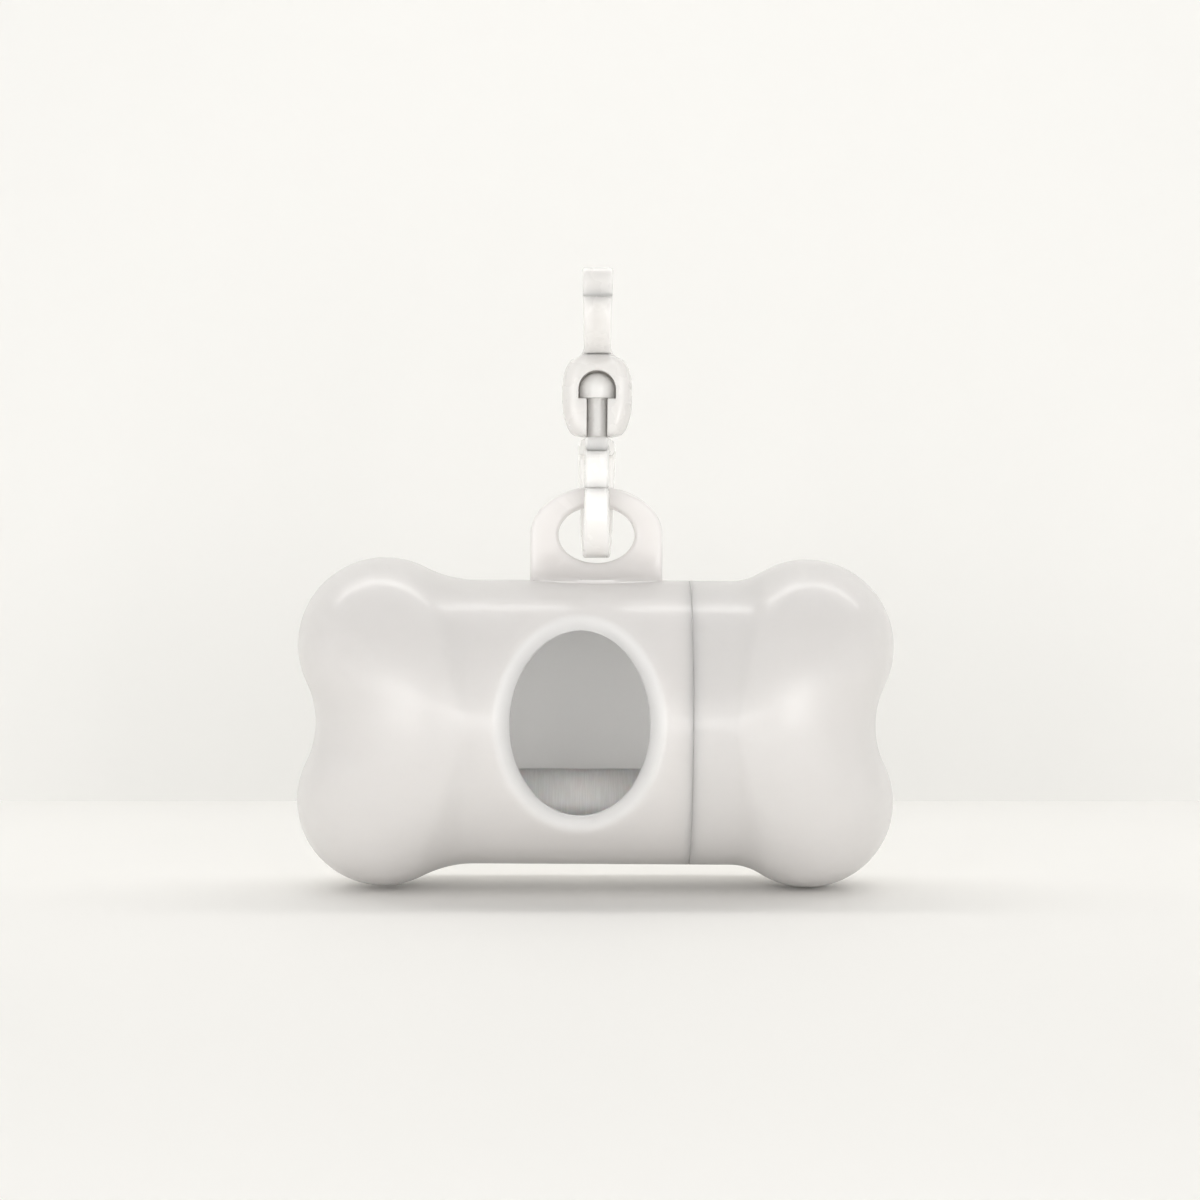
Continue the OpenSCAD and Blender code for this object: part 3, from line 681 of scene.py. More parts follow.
CAP_PROFILE = (
    [(x, WAIST_R) for x in np.linspace(RIGHT_START, CAP_EDGE + 0.5, 8)]
    + rounded(CAP_EDGE, WAIST_R, -1, 1, RIM_ROUND)
    + leaning_rim(CAP_EDGE, SEAM_X + SEAM_LEAN)
    + [(CAP_EDGE, SOCKET_R + 0.35), (CAP_EDGE + 0.12, SOCKET_R + 0.1),
       (CAP_EDGE + 0.4, SOCKET_R), (BEAD_X - 0.8, SOCKET_R), (BEAD_X - 0.4, SOCKET_R + BEAD_H),
       (BEAD_X + 0.4, SOCKET_R + BEAD_H), (BEAD_X + 0.8, SOCKET_R),
       (RIGHT_START, WAIST_R - WALL)])
print("points in the profiles:", len(SHELL_PROFILE), "and", len(CAP_PROFILE))

# %% [markdown]
# ## The lug
# The lug is a flat D with an eye. Its grid runs round the eye, and each row crosses from the eye
# over the front to the outside and home over the back, so the lip of the eye and the outer edge
# are rounded the same way all round. At its foot the plate flares into the shell. EYE_Z and
# FOOT_LOW are heights above the bone's axis.

# %% The lug's grid
LUG_W, LUG_T = 18.66, 3.0
LUG_DOME = 6.8
EYE_W, EYE_H = 10.74, 8.0
EYE_Z = 26.4
FOOT_H, FOOT_FLARE = 4.6, 3.0
FOOT_LOW = 18.9
EDGE_R = 0.6
FOOT_THINS = 0.35


def lug_half_depth(x, z):
    """Half the lug's thickness at a point of its front view, with the flare at the foot."""
    low = np.clip(1 - (z - WAIST_R) / FOOT_H, 0, 1)
    flare = FOOT_FLARE * (1 - np.sqrt(1 - low * low))
    plan = np.sqrt(np.clip(1 - (x / (LUG_W / 2)) ** 2, 0, 1))
    return LUG_T / 2 + flare * plan - FOOT_THINS * low * (1 - plan)


def ellipse_distance(x, z, a, b):
    """About how far a point lies outside an ellipse, negative inside."""
    q = np.sqrt((x / a) ** 2 + (z / b) ** 2)
    return (q - 1) * q / np.sqrt(x * x / a ** 4 + z * z / b ** 4)


def lug_grid():
    rows = []
    shares = np.concatenate([[0, 0.02, 0.05, 0.09, 0.14], np.linspace(0.22, 0.78, 8),
                             [0.86, 0.91, 0.95, 0.98, 1.0]])
    for turn in np.radians(np.arange(0, 360, 2.5)):
        c, s = math.cos(turn), math.sin(turn)
        near = 1 / math.hypot(c / (EYE_W / 2), s / (EYE_H / 2))
        if s >= 0:
            far = 1 / math.hypot(c / (LUG_W / 2), s / LUG_DOME)
        else:
            far = min(LUG_W / 2 / max(abs(c), 1e-6), (EYE_Z - FOOT_LOW) / -s)
        reach = near + (far - near) * shares
        x, z = reach * c, reach * s
        to_eye = ellipse_distance(x, z, EYE_W / 2, EYE_H / 2)
        outside = -ellipse_distance(x, z, LUG_W / 2, LUG_DOME) if s >= 0 else LUG_W / 2 - abs(x)
        edge = np.clip(np.minimum(to_eye, outside), 0, EDGE_R)
        drop = EDGE_R - np.sqrt(EDGE_R ** 2 - (EDGE_R - edge) ** 2)
        half = lug_half_depth(x, z + EYE_Z) - drop
        front = np.stack([x, -half, BONE_Z + EYE_Z + z], 1)
        back = front[::-1] * [1, -1, 1]
        outer = [front[-1] + (back[0] - front[-1]) * k for k in (0.33, 0.67)]
        inner = [back[-1] + (front[0] - back[-1]) * k for k in (0.33, 0.67)]
        rows.append(np.concatenate([front, outer, back, inner]))
    rows.append(rows[0])
    return grid(rows, wrap=True)


print("lug stands", round(EYE_Z + LUG_DOME - WAIST_R, 1), "mm over the waist")

# %% [markdown]
# Now the grids come together. Main shell: left end, waist, window, seam and spigot outside, and
# the same again on the inside, which closes the skin into a real wall. The lug is joined to it
# with an exact union, so that its foot meets the waist in a clean line. Two small keys on the
# spigot are joined in the same way.

# %% Make the main shell
KEY_HALF_W, KEY_H, KEY_SINK, KEY_LEN = 2.0, 0.7, 0.5, 3.0
KEY_GAP = 0.3


def box_grid(low, high, edge=0.15):
    """A small block with chamfered edges along X."""
    (x0, y0, z0), (x1, y1, z1) = low, high
    outline = [(y0 + edge, z0), (y1 - edge, z0), (y1, z0 + edge), (y1, z1 - edge),
               (y1 - edge, z1), (y0 + edge, z1), (y0, z1 - edge), (y0, z0 + edge)]
    rows = [[(x, (y0 + y1) / 2 + (y - (y0 + y1) / 2) * s, (z0 + z1) / 2 + (z - (z0 + z1) / 2) * s)
             for y, z in outline] for x, s in ((x0, 0), (x0, 0.9), (x0 + edge, 1), (x1 - edge, 1),
                                               (x1, 0.9), (x1, 0))]
    return grid(rows, wrap=True)


def key_grids(gap, from_x, to_x):
    """The two keys on the spigot, or the two keyways when grown by a gap."""
    made = []
    for side in (-1, 1):
        z0, z1 = sorted((side * (SPIGOT_R - KEY_SINK), side * (SPIGOT_R + KEY_H + gap)))
        half = KEY_HALF_W + gap
        made.append(box_grid((from_x, -half, BONE_Z + z0), (to_x, half, BONE_Z + z1)))
    return made


def main_shell():
    inner = WAIST_R - WALL
    shell = weld("main_shell_moulding", [
        end_skin(-1, SWEEP_LEFT, 0), end_skin(-1, SWEEP_LEFT, WALL),
        back_of_waist(LEFT_START, PATCH_END_OUT, WAIST_R),
        back_of_waist(LEFT_START, PATCH_END_IN, inner),
        patch(OUTER_BORDER, TURNS, *RIM[0]), patch(INNER_BORDER, TURNS, *RIM[-1]),
        grid([ellipse_ring(TURNS, grow, sink) for grow, sink in RIM], wrap=True),
        lathe(SHELL_PROFILE)])
    combine(shell, weld("lug_blank", [lug_grid()]), "UNION")
    keys = key_grids(0, SHELL_EDGE - 0.8, SEAM_X + KEY_LEN)
    combine(shell, weld("key_blank", keys), "UNION")
    settle_normals(shell)
    return shell


hang(main_shell(), "main_shell", "shell", SHELL_PLASTIC)

# %% [markdown]
# The right end is the same kind of shape, with a socket where the spigot goes and two shallow
# keyways that stop it from turning on the spigot.

# %% Make the pull-off end
def end_cap():
    cap = weld("end_cap_moulding", [end_skin(1, SWEEP_RIGHT, 0), end_skin(1, SWEEP_RIGHT, WALL),
                                    lathe(CAP_PROFILE)])
    keyways = key_grids(KEY_GAP, CAP_EDGE - 1, SEAM_X + KEY_LEN + KEY_GAP)
    combine(cap, weld("keyway_blank", keyways), "DIFFERENCE")
    settle_normals(cap)
    return cap


hang(end_cap(), "end_cap", "pull_off_end", SHELL_PLASTIC)

# %% [markdown]
# ## The clip
# The clip's pieces have webs, bores and slots that blend into each other with small radii. Grids
# are clumsy for that. Instead each piece is a function that says how far a point lies outside
# it, in millimetres. Such functions can be joined with a soft minimum, which leaves a fillet.

# %% Joining distances with fillets
def soft_union(a, b, k):
    """Both shapes together, with a fillet of about k where they meet."""
    h = np.clip(0.5 + 0.5 * (b - a) / k, 0, 1)
    return b + (a - b) * h - k * h * (1 - h)


def soft_cut(a, b, k):
    """Leaves a where b is not, with edges rounded by about k."""
    return -soft_union(-a, b, k)


def soft_overlap(a, b, k):
    """What the two shapes share, with edges rounded by about k."""
    return -soft_union(-a, -b, k)


def round_pair(a, b, r):
    """Where two walls cross, with the corner rounded to radius r."""
    return (np.minimum(np.maximum(a + r, b + r), 0)
            + np.hypot(np.maximum(a + r, 0), np.maximum(b + r, 0)) - r)


def block(u, v, low_u, high_u, low_v, high_v, r):
    """Distance to a rectangle with corners of radius r, in a side view."""
    return round_pair(np.abs(u - (low_u + high_u) / 2) - (high_u - low_u) / 2,
                      np.abs(v - (low_v + high_v) / 2) - (high_v - low_v) / 2, r)


print("two walls 0.3 mm away, joined softly:", round(float(soft_union(0.3, 0.3, 1.0)), 3), "mm")

# %% [markdown]
# A mesh has to be drawn where such a function is zero. Marching cubes would do it, but they round
# off narrow edges. Here each small cube that the surface passes through gets one point instead,
# at the place that fits the surface's tangent planes in that cube best, so even narrow edges come
# out straight. Each edge of the cubes that the surface cuts then gives one quad of four points.

# %% Drawing a net of quads round a distance function
PULL_TO_MIDDLE = 0.06


def slope_of(field, points, step):
    """The outward direction of the field at each point."""
    slope = np.stack([field(*(points + d).T) - field(*(points - d).T)
                      for d in np.eye(3) * step], 1)
    return slope / np.maximum(np.linalg.norm(slope, axis=1, keepdims=True), 1e-9)


def crossings(value, axis, corner, step):
    """Cells just past each grid edge along the axis that the surface cuts, and where it is cut."""
    ends = [slice(1, None)] * 3
    starts = list(ends)
    starts[axis], ends[axis] = slice(0, -1), slice(1, None)
    for other in {0, 1, 2} - {axis}:
        starts[other] = ends[other] = slice(1, -1)
    p, q = value[tuple(starts)], value[tuple(ends)]
    at = np.argwhere((p < 0) != (q < 0))
    p, q = p[tuple(at.T)], q[tuple(at.T)]
    cells = at.copy()
    for other in {0, 1, 2} - {axis}:
        cells[:, other] += 1
    points = corner + cells * step
    points[:, axis] += step * p / (p - q)
    return cells, points, p < 0


def net(field, low, high, step):
    """Points and quads that wrap the surface where the field is zero."""
    # The field on a lattice of cubes, and where the surface cuts the cubes' edges
    axes = [np.arange(a - 2 * step, b + 3 * step, step) for a, b in zip(low, high)]
    corner = np.array([a[0] for a in axes])
    value = field(*np.meshgrid(*axes, indexing="ij"))
    index = np.full(value.shape, -1)
    found = [crossings(value, axis, corner, step) for axis in range(3)]
    # Each cut edge lies in four cubes, which are numbered once each
    rings = []
    for axis, (cells, _, _) in enumerate(found):
        ring = []
        for back in ((0, 0), (1, 0), (1, 1), (0, 1)):
            around = cells.copy()
            around[:, (axis + 1) % 3] -= back[0]
            around[:, (axis + 2) % 3] -= back[1]
            index[tuple(around.T)] = 0
            ring.append(around)
        rings.append(ring)
    index[index == 0] = np.arange((index == 0).sum())
    # Every cube gathers the tangent planes of its cut edges
    count = index.max() + 1
    normals = np.zeros((count, 3, 3))
    reach = np.zeros((count, 3))
    middle = np.zeros((count, 3))
    shares = np.zeros(count)
    quads = []
    for ring, (_, points, outwards) in zip(rings, found):
        slope = slope_of(field, points, step / 8)
        square = slope[:, :, None] * slope[:, None, :]
        along = (slope * points).sum(1)[:, None] * slope
        quad = np.stack([index[tuple(cells.T)] for cells in ring], 1)
        for cell in quad.T:
            np.add.at(normals, cell, square)
            np.add.at(reach, cell, along)
            np.add.at(middle, cell, points)
            np.add.at(shares, cell, 1)
        quad[~outwards] = quad[~outwards][:, ::-1]
        quads.append(quad)
    # The point that fits the planes best, held lightly to the middle of the cuts
    middle /= shares[:, None]
    hold = PULL_TO_MIDDLE * shares[:, None, None] * np.eye(3)
    offset = np.linalg.solve(normals + hold, (reach - np.einsum("nij,nj->ni", normals, middle))
                             [:, :, None])[:, :, 0]
    length = np.linalg.norm(offset, axis=1, keepdims=True)
    return middle + offset * np.minimum(1, step / np.maximum(length, 1e-9)), np.concatenate(quads)


ball = net(lambda x, y, z: np.sqrt(x * x + y * y + z * z) - 1, (-1,) * 3, (1,) * 3, 0.25)
print("a test ball of radius 1 mm takes", len(ball[0]), "points and", len(ball[1]), "quads")

# %% [markdown]
# ## Hook, barrel and gates
# The hook's strap is a little wider at the top, where its nose comes down to the sprung gate.
# Below it the barrel holds the post of the lower link, which was pressed in through the slot in
# the barrel's flat front. The gates are cut out of their loops by circles about their own
# hinges, so that they can swing inwards. These sizes are the engineering model's own or a hair
# less, except TIP_GAP and ROOT_GAP: the gaps seen round a gate are finer than the working ones.

# %% Sizes of the hook and the barrel
THROAT_R, HOOK_T = 4.3, 2.4
HOOK_R = THROAT_R + HOOK_T
HOOK_MID = THROAT_R + HOOK_T / 2
NOSE_CORNER = 2.2
NOSE = (NOSE_CORNER - HOOK_R, 3.9)
HOOK_HALF_TOP, HOOK_NARROWS = 2.17, 0.3
HOOK_ROOT = math.radians(55)
HOOK_HINGE = (-HOOK_MID * math.cos(HOOK_ROOT), -HOOK_MID * math.sin(HOOK_ROOT))
HOOK_REACH = math.dist(HOOK_HINGE, (-HOOK_R, 1.75))
TIP_GAP, ROOT_GAP = 0.05, 0.02
KNUCKLE_PROUD = 0.05
BARREL_R, BARREL_END_R, BARREL_H = 4.95, 2.8, 11.2
BARREL_FRONT, BARREL_BAND = 2.9, 0.7
BARREL_TOP = 0.7 - HOOK_R
BARREL_LOW = BARREL_TOP - BARREL_H
BARREL_MID = BARREL_TOP - 0.46 * BARREL_H
HEAD_R, HEAD_SKIRT, POST_R = 2.55, 1.25, 1.375
HEAD_CENTRE = BARREL_TOP - 2.1 - HEAD_R
HEAD_LOW = HEAD_CENTRE - HEAD_SKIRT
SWIVEL_FIT = 0.08
print("barrel from z =", round(BARREL_TOP, 2), "to", round(BARREL_LOW, 2), "mm")

# %% [markdown]
# The link hangs right under the barrel, so its heights are worked down from the barrel's. Its
# front and back limbs have widths of their own at the link's lowest and highest point.

# %% Sizes of the link
LINK_R, LINK_T, LINK_CORNER = 3.4, 2.2, 1.8
LINK_OUT = LINK_R + LINK_T
LINK_MID = LINK_R + LINK_T / 2
YOKE_TOP = BARREL_LOW - 0.3
BEND_LOW = YOKE_TOP - 11.2
LINK_LOW = BEND_LOW - LINK_OUT
FRONT_LOW, FRONT_TOP = 3.5, 2.95
BACK_LOW, BACK_TOP = 4.3, 5.6
LINK_HINGE = (-LINK_MID, YOKE_TOP - 2.65)
LINK_TIP = YOKE_TOP - 7.05
LINK_REACH = math.dist(LINK_HINGE, (-LINK_OUT, LINK_TIP))
print("link's lowest point at z =", round(LINK_LOW, 2), "mm")

# %% [markdown]
# The hook in side view is round outside and inside, but its nose has a squarer front corner.
# The gate's front has a shallow dish for the fingertip that presses it, and a small oval dimple
# near its root. Each is an ellipse in front view whose value falls from 1 in its middle to 0 at
# its edge, times a depth.

# %% The hook and its gate as distances
DISH_DEPTH, DIMPLE_DEPTH = 0.3, 0.12


def from_hinge(hinge, y, z):
    return np.hypot(y - hinge[0], z - hinge[1])


def hook_outline(y, z):
    """Side view of the hook's outside: ring and nose corner, with straight lines between."""
    reach = math.hypot(*NOSE)
    along = (y * NOSE[0] + z * NOSE[1]) / reach
    across = np.abs(y * NOSE[1] - z * NOSE[0]) / reach
    lean = (HOOK_R - NOSE_CORNER) / reach
    rise = math.sqrt(1 - lean * lean)
    place = rise * along - lean * across
    sides = rise * across + lean * along - HOOK_R
    ring = np.hypot(y, z) - HOOK_R
    corner = np.hypot(y - NOSE[0], z - NOSE[1]) - NOSE_CORNER
    return np.where(place < 0, ring, np.where(place > rise * reach, corner, sides))


def hook_half_width(z):
    return HOOK_HALF_TOP - HOOK_NARROWS * np.clip((HOOK_R - z) / (2 * HOOK_R), 0, 1)


def hook_loop(x, y, z):
    """The hook's loop, with rounded edges."""
    across = np.maximum(hook_outline(y, z), THROAT_R - np.hypot(y, z))
    return round_pair(across, np.abs(x) - hook_half_width(z), 0.42)


def hook_gate_zone(y, z, tip_gap, root_gap):
    """Side view of the gate's place: over its root and within its reach, or in its knuckle."""
    over_root = y * math.sin(HOOK_ROOT) - z * math.cos(HOOK_ROOT)
    turn = from_hinge(HOOK_HINGE, y, z)
    zone = np.maximum(np.maximum(turn - HOOK_REACH - tip_gap, over_root), y)
    return np.minimum(zone, turn - HOOK_T / 2 - KNUCKLE_PROUD - root_gap)


def hook_gate_field(x, y, z):
    knuckle = from_hinge(HOOK_HINGE, y, z) - HOOK_T / 2 - KNUCKLE_PROUD
    knuckle = round_pair(knuckle, np.abs(x) - hook_half_width(z), 0.3)
    blade = soft_overlap(hook_loop(x, y, z), hook_gate_zone(y, z, 0, 0), 0.08)
    dish = 1 - (x / 1.3) ** 2 - ((z + 1.28) / 2.1) ** 2
    dimple = 1 - (x / 0.75) ** 2 - ((z + 4.25) / 0.45) ** 2
    blade = soft_overlap(blade, hook_outline(y, z) + DISH_DEPTH * dish, 0.1)
    return np.maximum(np.minimum(blade, knuckle), hook_outline(y, z) + DIMPLE_DEPTH * dimple)


print("hook's width at its top and bottom:", 2 * hook_half_width(np.array([HOOK_R, -HOOK_R])))

# %% [markdown]
# The barrel is a body of revolution with a flat front. Its slot has an arch for the post's head
# and a narrower neck below. The seat behind the slot is round, so that the post can turn. The
# strap runs down into the barrel with a wide fillet, NECK_FILLET.

# %% The barrel and its slot as distances
NECK_FILLET = 1.5


def barrel(x, y, z):
    span = np.where(z > BARREL_MID, BARREL_TOP - BARREL_MID, BARREL_MID - BARREL_LOW)
    u = np.clip((np.abs(z - BARREL_MID) - BARREL_BAND) / (span - BARREL_BAND), 0, 1)
    radius = BARREL_END_R + (BARREL_R - BARREL_END_R) * np.sqrt(np.maximum(1 - u * u, 0.0004))
    ends = np.abs(z - (BARREL_TOP + BARREL_LOW) / 2) - BARREL_H / 2
    body = round_pair(0.75 * (np.hypot(x, y) - radius), ends, 0.35)
    return soft_overlap(body, -BARREL_FRONT - y, 0.9)


def head_shape(across, z, gap):
    """The post's head, or its arch when across is |x|: a dome on a short straight skirt."""
    over = np.where(z > HEAD_CENTRE, np.hypot(across, z - HEAD_CENTRE), across)
    return np.maximum(over - HEAD_R - gap, HEAD_LOW - gap - z)


def neck_shape(across, z, gap):
    return np.maximum(across - POST_R - gap, z - HEAD_LOW - 0.5)


def post_slot(x, y, z, gap):
    """The slot in front of the axis, and the round seat for head and neck."""
    wide, round_ = np.abs(x), np.hypot(x, y)
    slot = soft_union(head_shape(wide, z, gap), neck_shape(wide, z, gap), 0.15)
    seat = np.minimum(head_shape(round_, z, gap), neck_shape(round_, z, gap))
    return np.minimum(np.maximum(slot, y), seat)


def snap_hook_field(x, y, z):
    loop = soft_cut(hook_loop(x, y, z), hook_gate_zone(y, z, TIP_GAP, ROOT_GAP), 0.07)
    whole = soft_union(loop, barrel(x, y, z), NECK_FILLET)
    knuckle_room = from_hinge(HOOK_HINGE, y, z) - HOOK_T / 2 - KNUCKLE_PROUD - ROOT_GAP
    whole = soft_cut(whole, knuckle_room, 0.06)
    return soft_cut(whole, post_slot(x, y, z, SWIVEL_FIT), 0.14)


print("slot for the head is", round(2 * (HEAD_R + SWIVEL_FIT), 2), "mm wide")

# %% [markdown]
# The lower link is square above, where it carries the post, and round below, where the lug's
# bar rests. Its back limb is wide and its front limb is narrow, because the upper half of the
# front limb is the second gate.

# %% The link and its gate as distances
def link_outline(y, z, inset, corner):
    """Side view of the link's outside, or of its inside with an inset."""
    r = LINK_OUT - inset
    sides = block(y, z, -r, r, BEND_LOW - corner, YOKE_TOP - inset, corner)
    return np.minimum(np.hypot(y, z - BEND_LOW) - r, sides)


def link_half_width(y, z):
    """Half the link's width: narrow in front, wide behind, each with its own taper."""
    up = (z - LINK_LOW) / (YOKE_TOP - LINK_LOW)
    front = FRONT_LOW + (FRONT_TOP - FRONT_LOW) * up
    back = BACK_LOW + (BACK_TOP - BACK_LOW) * up
    depth = np.clip((y + LINK_OUT) / (2 * LINK_OUT), 0, 1)
    return (front + (back - front) * depth) / 2


def link_loop(x, y, z):
    across = np.maximum(link_outline(y, z, 0, LINK_CORNER), -link_outline(y, z, LINK_T, 0.5))
    return round_pair(across, np.abs(x) - link_half_width(y, z), 0.4)


def link_gate_zone(y, z, tip_gap, root_gap, tip_z):
    turn = from_hinge(LINK_HINGE, y, z)
    zone = np.maximum(np.maximum(turn - LINK_REACH - tip_gap, z - LINK_HINGE[1]),
                      np.maximum(y + 1, tip_z - z))
    return np.minimum(zone, turn - LINK_T / 2 - KNUCKLE_PROUD - root_gap)


def swivel_link_field(x, y, z):
    zone = link_gate_zone(y, z, TIP_GAP, ROOT_GAP, BEND_LOW)
    loop = soft_cut(link_loop(x, y, z), zone, 0.07)
    across = np.hypot(x, y)
    post = np.maximum(across - POST_R, np.abs(z - YOKE_TOP + 1) - (HEAD_LOW - YOKE_TOP) - 1.2)
    post = np.maximum(post, z - HEAD_LOW - 0.3)
    head = round_pair(head_shape(across, z, 0), HEAD_LOW - z, 0.2)
    return np.minimum(soft_union(loop, post, 0.5), soft_union(post, head, 0.12))


def link_gate_field(x, y, z):
    knuckle = from_hinge(LINK_HINGE, y, z) - LINK_T / 2 - KNUCKLE_PROUD
    knuckle = round_pair(knuckle, np.abs(x) - link_half_width(y, z), 0.3)
    blade = soft_overlap(link_loop(x, y, z), link_gate_zone(y, z, 0, 0, LINK_TIP), 0.08)
    return np.minimum(blade, knuckle)


print("link's gate reaches", round(LINK_REACH, 2), "mm from its hinge")

# %% [markdown]
# Each of the four functions now becomes a mesh in its node's own box. A step of 0.14 mm is fine
# enough for the smallest rounding that can be seen. The link's two pieces are painted a little
# paler than the hook's, though all four are the same kind of plastic: painted light that lifts
# the shade where the post sits in the barrel's slot.

# %% Make the clip's four pieces
NET_STEP = 0.14


def clip_piece(name, field, node_name, body, material):
    low, high = (np.array(v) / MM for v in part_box(node_name))
    piece = weld(name, [net(field, low - 0.3, high + 0.3, NET_STEP)])
    settle_normals(piece, 50)
    hang(piece, node_name, body, material)


clip_piece("snap_hook_moulding", snap_hook_field, "snap_hook", "hook", CLIP_PLASTIC)
clip_piece("hook_gate_spring", hook_gate_field, "hook_gate", "gate_of_hook", CLIP_PLASTIC)
clip_piece("swivel_link_moulding", swivel_link_field, "swivel_link", "link", LINK_PLASTIC_PAINTED_LIGHTER)
clip_piece("link_gate_spring", link_gate_field, "link_gate", "gate_of_link", LINK_PLASTIC_PAINTED_LIGHTER)

# %% [markdown]
# ## What is left of the roll
# A roll of bags is one long flattened tube wound on a paper core. Near its end only a few turns
# are left, and the roll lies low on the spigot's bore. Both pieces are closed rings of profile
# points (x, radius), turned about the roll's own axis.

# %% The roll's sizes, and tubes turned about its axis
ROLL_LEN, ROLL_R, ROLL_GAP = 60.0, 4.9, 0.3
CORE_R, CORE_T, CORE_FIT, CORE_PROUD = 4.1, 0.8, 0.05, 0.5
ROLL_Z = BONE_Z - (SPIGOT_BORE - ROLL_GAP - ROLL_R)


def turned_tube(name, profile, steps, wobble=None):
    """A closed ring of profile points (x, r) turned about the roll's axis."""
    turn = np.linspace(0, 2 * math.pi, steps, endpoint=False)
    rows = []
    for x, r in profile:
        radius = r + (wobble(x, r, turn) if wobble else 0)
        rows.append(np.stack([np.full(steps, x), -radius * np.sin(turn),
                              ROLL_Z + radius * np.cos(turn)], 1))
    rows.append(rows[0])
    return weld(name, [grid(rows, wrap=True)])


print("roll's axis at z =", round(ROLL_Z, 2), "mm")

# %% [markdown]
# The outside of the wound film is a spiral, so there is a small step where the last bag ends, and
# the film is never quite tight. At the ends the layers stand out unevenly. All this is in the
# mesh, by a little over a tenth of a millimetre at most, so that the roll catches the light.

# %% Make the wound bags
SPIRAL_STEP, SLACK = 0.14, 0.035


def film_wobble(x, r, turn):
    """The spiral's step and a little slack, only on the outside."""
    if r < ROLL_R - 0.25:
        return 0.0
    step = -SPIRAL_STEP * (1 - turn / (2 * math.pi))
    slack = SLACK * np.sin(3 * turn + 0.35 * x) * math.sin(0.21 * x + 1) - SLACK
    return step + slack


def wound_profile():
    half = ROLL_LEN / 2
    along = np.linspace(-half + 0.3, half - 0.3, 46)
    layers = np.linspace(ROLL_R - 0.3, CORE_R + CORE_FIT + 0.1, 5)
    ridge = [0.0, 0.1, 0.02, 0.12, 0.04]
    right = [(half - d, r) for d, r in zip(ridge, layers)]
    left = [(-half + d, r) for d, r in zip(ridge[::-1], layers[::-1])]
    bore = CORE_R + CORE_FIT
    return ([(x, ROLL_R) for x in along] + [(half - 0.08, ROLL_R - 0.1)] + right
            + [(half - 0.2, bore), (-half + 0.2, bore)] + left + [(-half + 0.08, ROLL_R - 0.1)])


bags = turned_tube("bag_roll_film", wound_profile(), 96, film_wobble)
settle_normals(bags, 30)
hang(bags, "bag_roll", "roll", BAG_FILM)

# %% [markdown]
# The core is a plain tube of board that stands out of the bags by half a millimetre at each end.
# At its cut ends the outer corner is rounded and the inner one is a small bevel.

# %% Make the core
CORE_HALF = ROLL_LEN / 2 + CORE_PROUD
core_bore = CORE_R - CORE_T
core = turned_tube("roll_core_tube", [
    (CORE_HALF - 0.12, CORE_R), (CORE_HALF - 0.03, CORE_R - 0.05), (CORE_HALF, CORE_R - 0.15),
    (CORE_HALF, core_bore + 0.15), (CORE_HALF - 0.1, core_bore), (-CORE_HALF + 0.1, core_bore),
    (-CORE_HALF, core_bore + 0.15), (-CORE_HALF, CORE_R - 0.15),
    (-CORE_HALF + 0.03, CORE_R - 0.05), (-CORE_HALF + 0.12, CORE_R)], 72)
settle_normals(core, 30)
hang(core, "roll_core", "roll", CORE_CARD)

# %% [markdown]
# ## Camera, floor and light
# The photograph looks straight at the front, from a little lower than the lug. One pixel is
# 0.1413 mm at the bone, which with a distance of 345 mm gives the lens. The object leans by a
# fraction of a degree in the picture, so the camera rolls.

# %% Camera
PHOTO_PX = 1200
MM_PER_PX = 0.1413
CAMERA_AWAY = 345.0
CAMERA_X, CAMERA_ABOVE = 0.55, 17.2
ROLL_DEG = 0.3
SENSOR = 36.0

camera_data = bpy.data.cameras.new("photo_camera")
camera_data.sensor_width = SENSOR
camera_data.lens = SENSOR * CAMERA_AWAY / (PHOTO_PX * MM_PER_PX)
camera_data.clip_start, camera_data.clip_end = 0.01, 20
camera = bpy.data.objects.new("photo_camera", camera_data)
camera.location = (CAMERA_X * MM, -CAMERA_AWAY * MM, (BONE_Z + CAMERA_ABOVE) * MM)
camera.rotation_euler = (math.radians(90), math.radians(-ROLL_DEG), 0)
bpy.context.scene.collection.objects.link(camera)
bpy.context.scene.camera = camera
print("lens:", round(camera_data.lens, 1), "mm")

# %% [markdown]
# Two sheets of pale card make the studio. Their line stands at pixel row 801 in the photograph,
# which gives the backdrop's distance. Both roll with the camera to keep that line level, so the
# floor lies 0.3 mm under the bone to stay clear of its lobes. The backdrop is see-through from
# behind, by way of Backfacing, so that the object can also be looked at from its back.

# %% Floor and backdrop
LINE_PX = 801
FLOOR_DROP = 0.3
FLOOR_Z = BONE_LOW - FLOOR_DROP
line_drop = (LINE_PX - PHOTO_PX / 2) * MM_PER_PX
BACKDROP_Y = (CAMERA_ABOVE + BONE_Z - FLOOR_Z) * CAMERA_AWAY / line_drop - CAMERA_AWAY


def paper(name, colour, roughness, one_sided=False):
    """Matt card with a faint tooth. A one-sided card can't be seen from behind."""
    made, tree, shader = new_material(name)
    tooth = noise_at(tree, 0.0012, detail=4)
    broad = noise_at(tree, 0.15, detail=1)
    dark = [c * 0.985 for c in colour] + [1]
    tone = blend_colour(tree, ramp(tree, broad.outputs["Fac"], 0.3, 0.7), dark, (*colour, 1))
    tree.links.new(tone, shader.inputs["Base Color"])
    shader.inputs["Roughness"].default_value = roughness
    add_bump(tree, shader, tooth.outputs["Fac"], 0.05, 0.05 * MM)
    if one_sided:
        side = node(tree, "ShaderNodeNewGeometry")
        tree.links.new(join(tree, "SUBTRACT", 1.0, side.outputs["Backfacing"]),
                       shader.inputs["Alpha"])
    return made


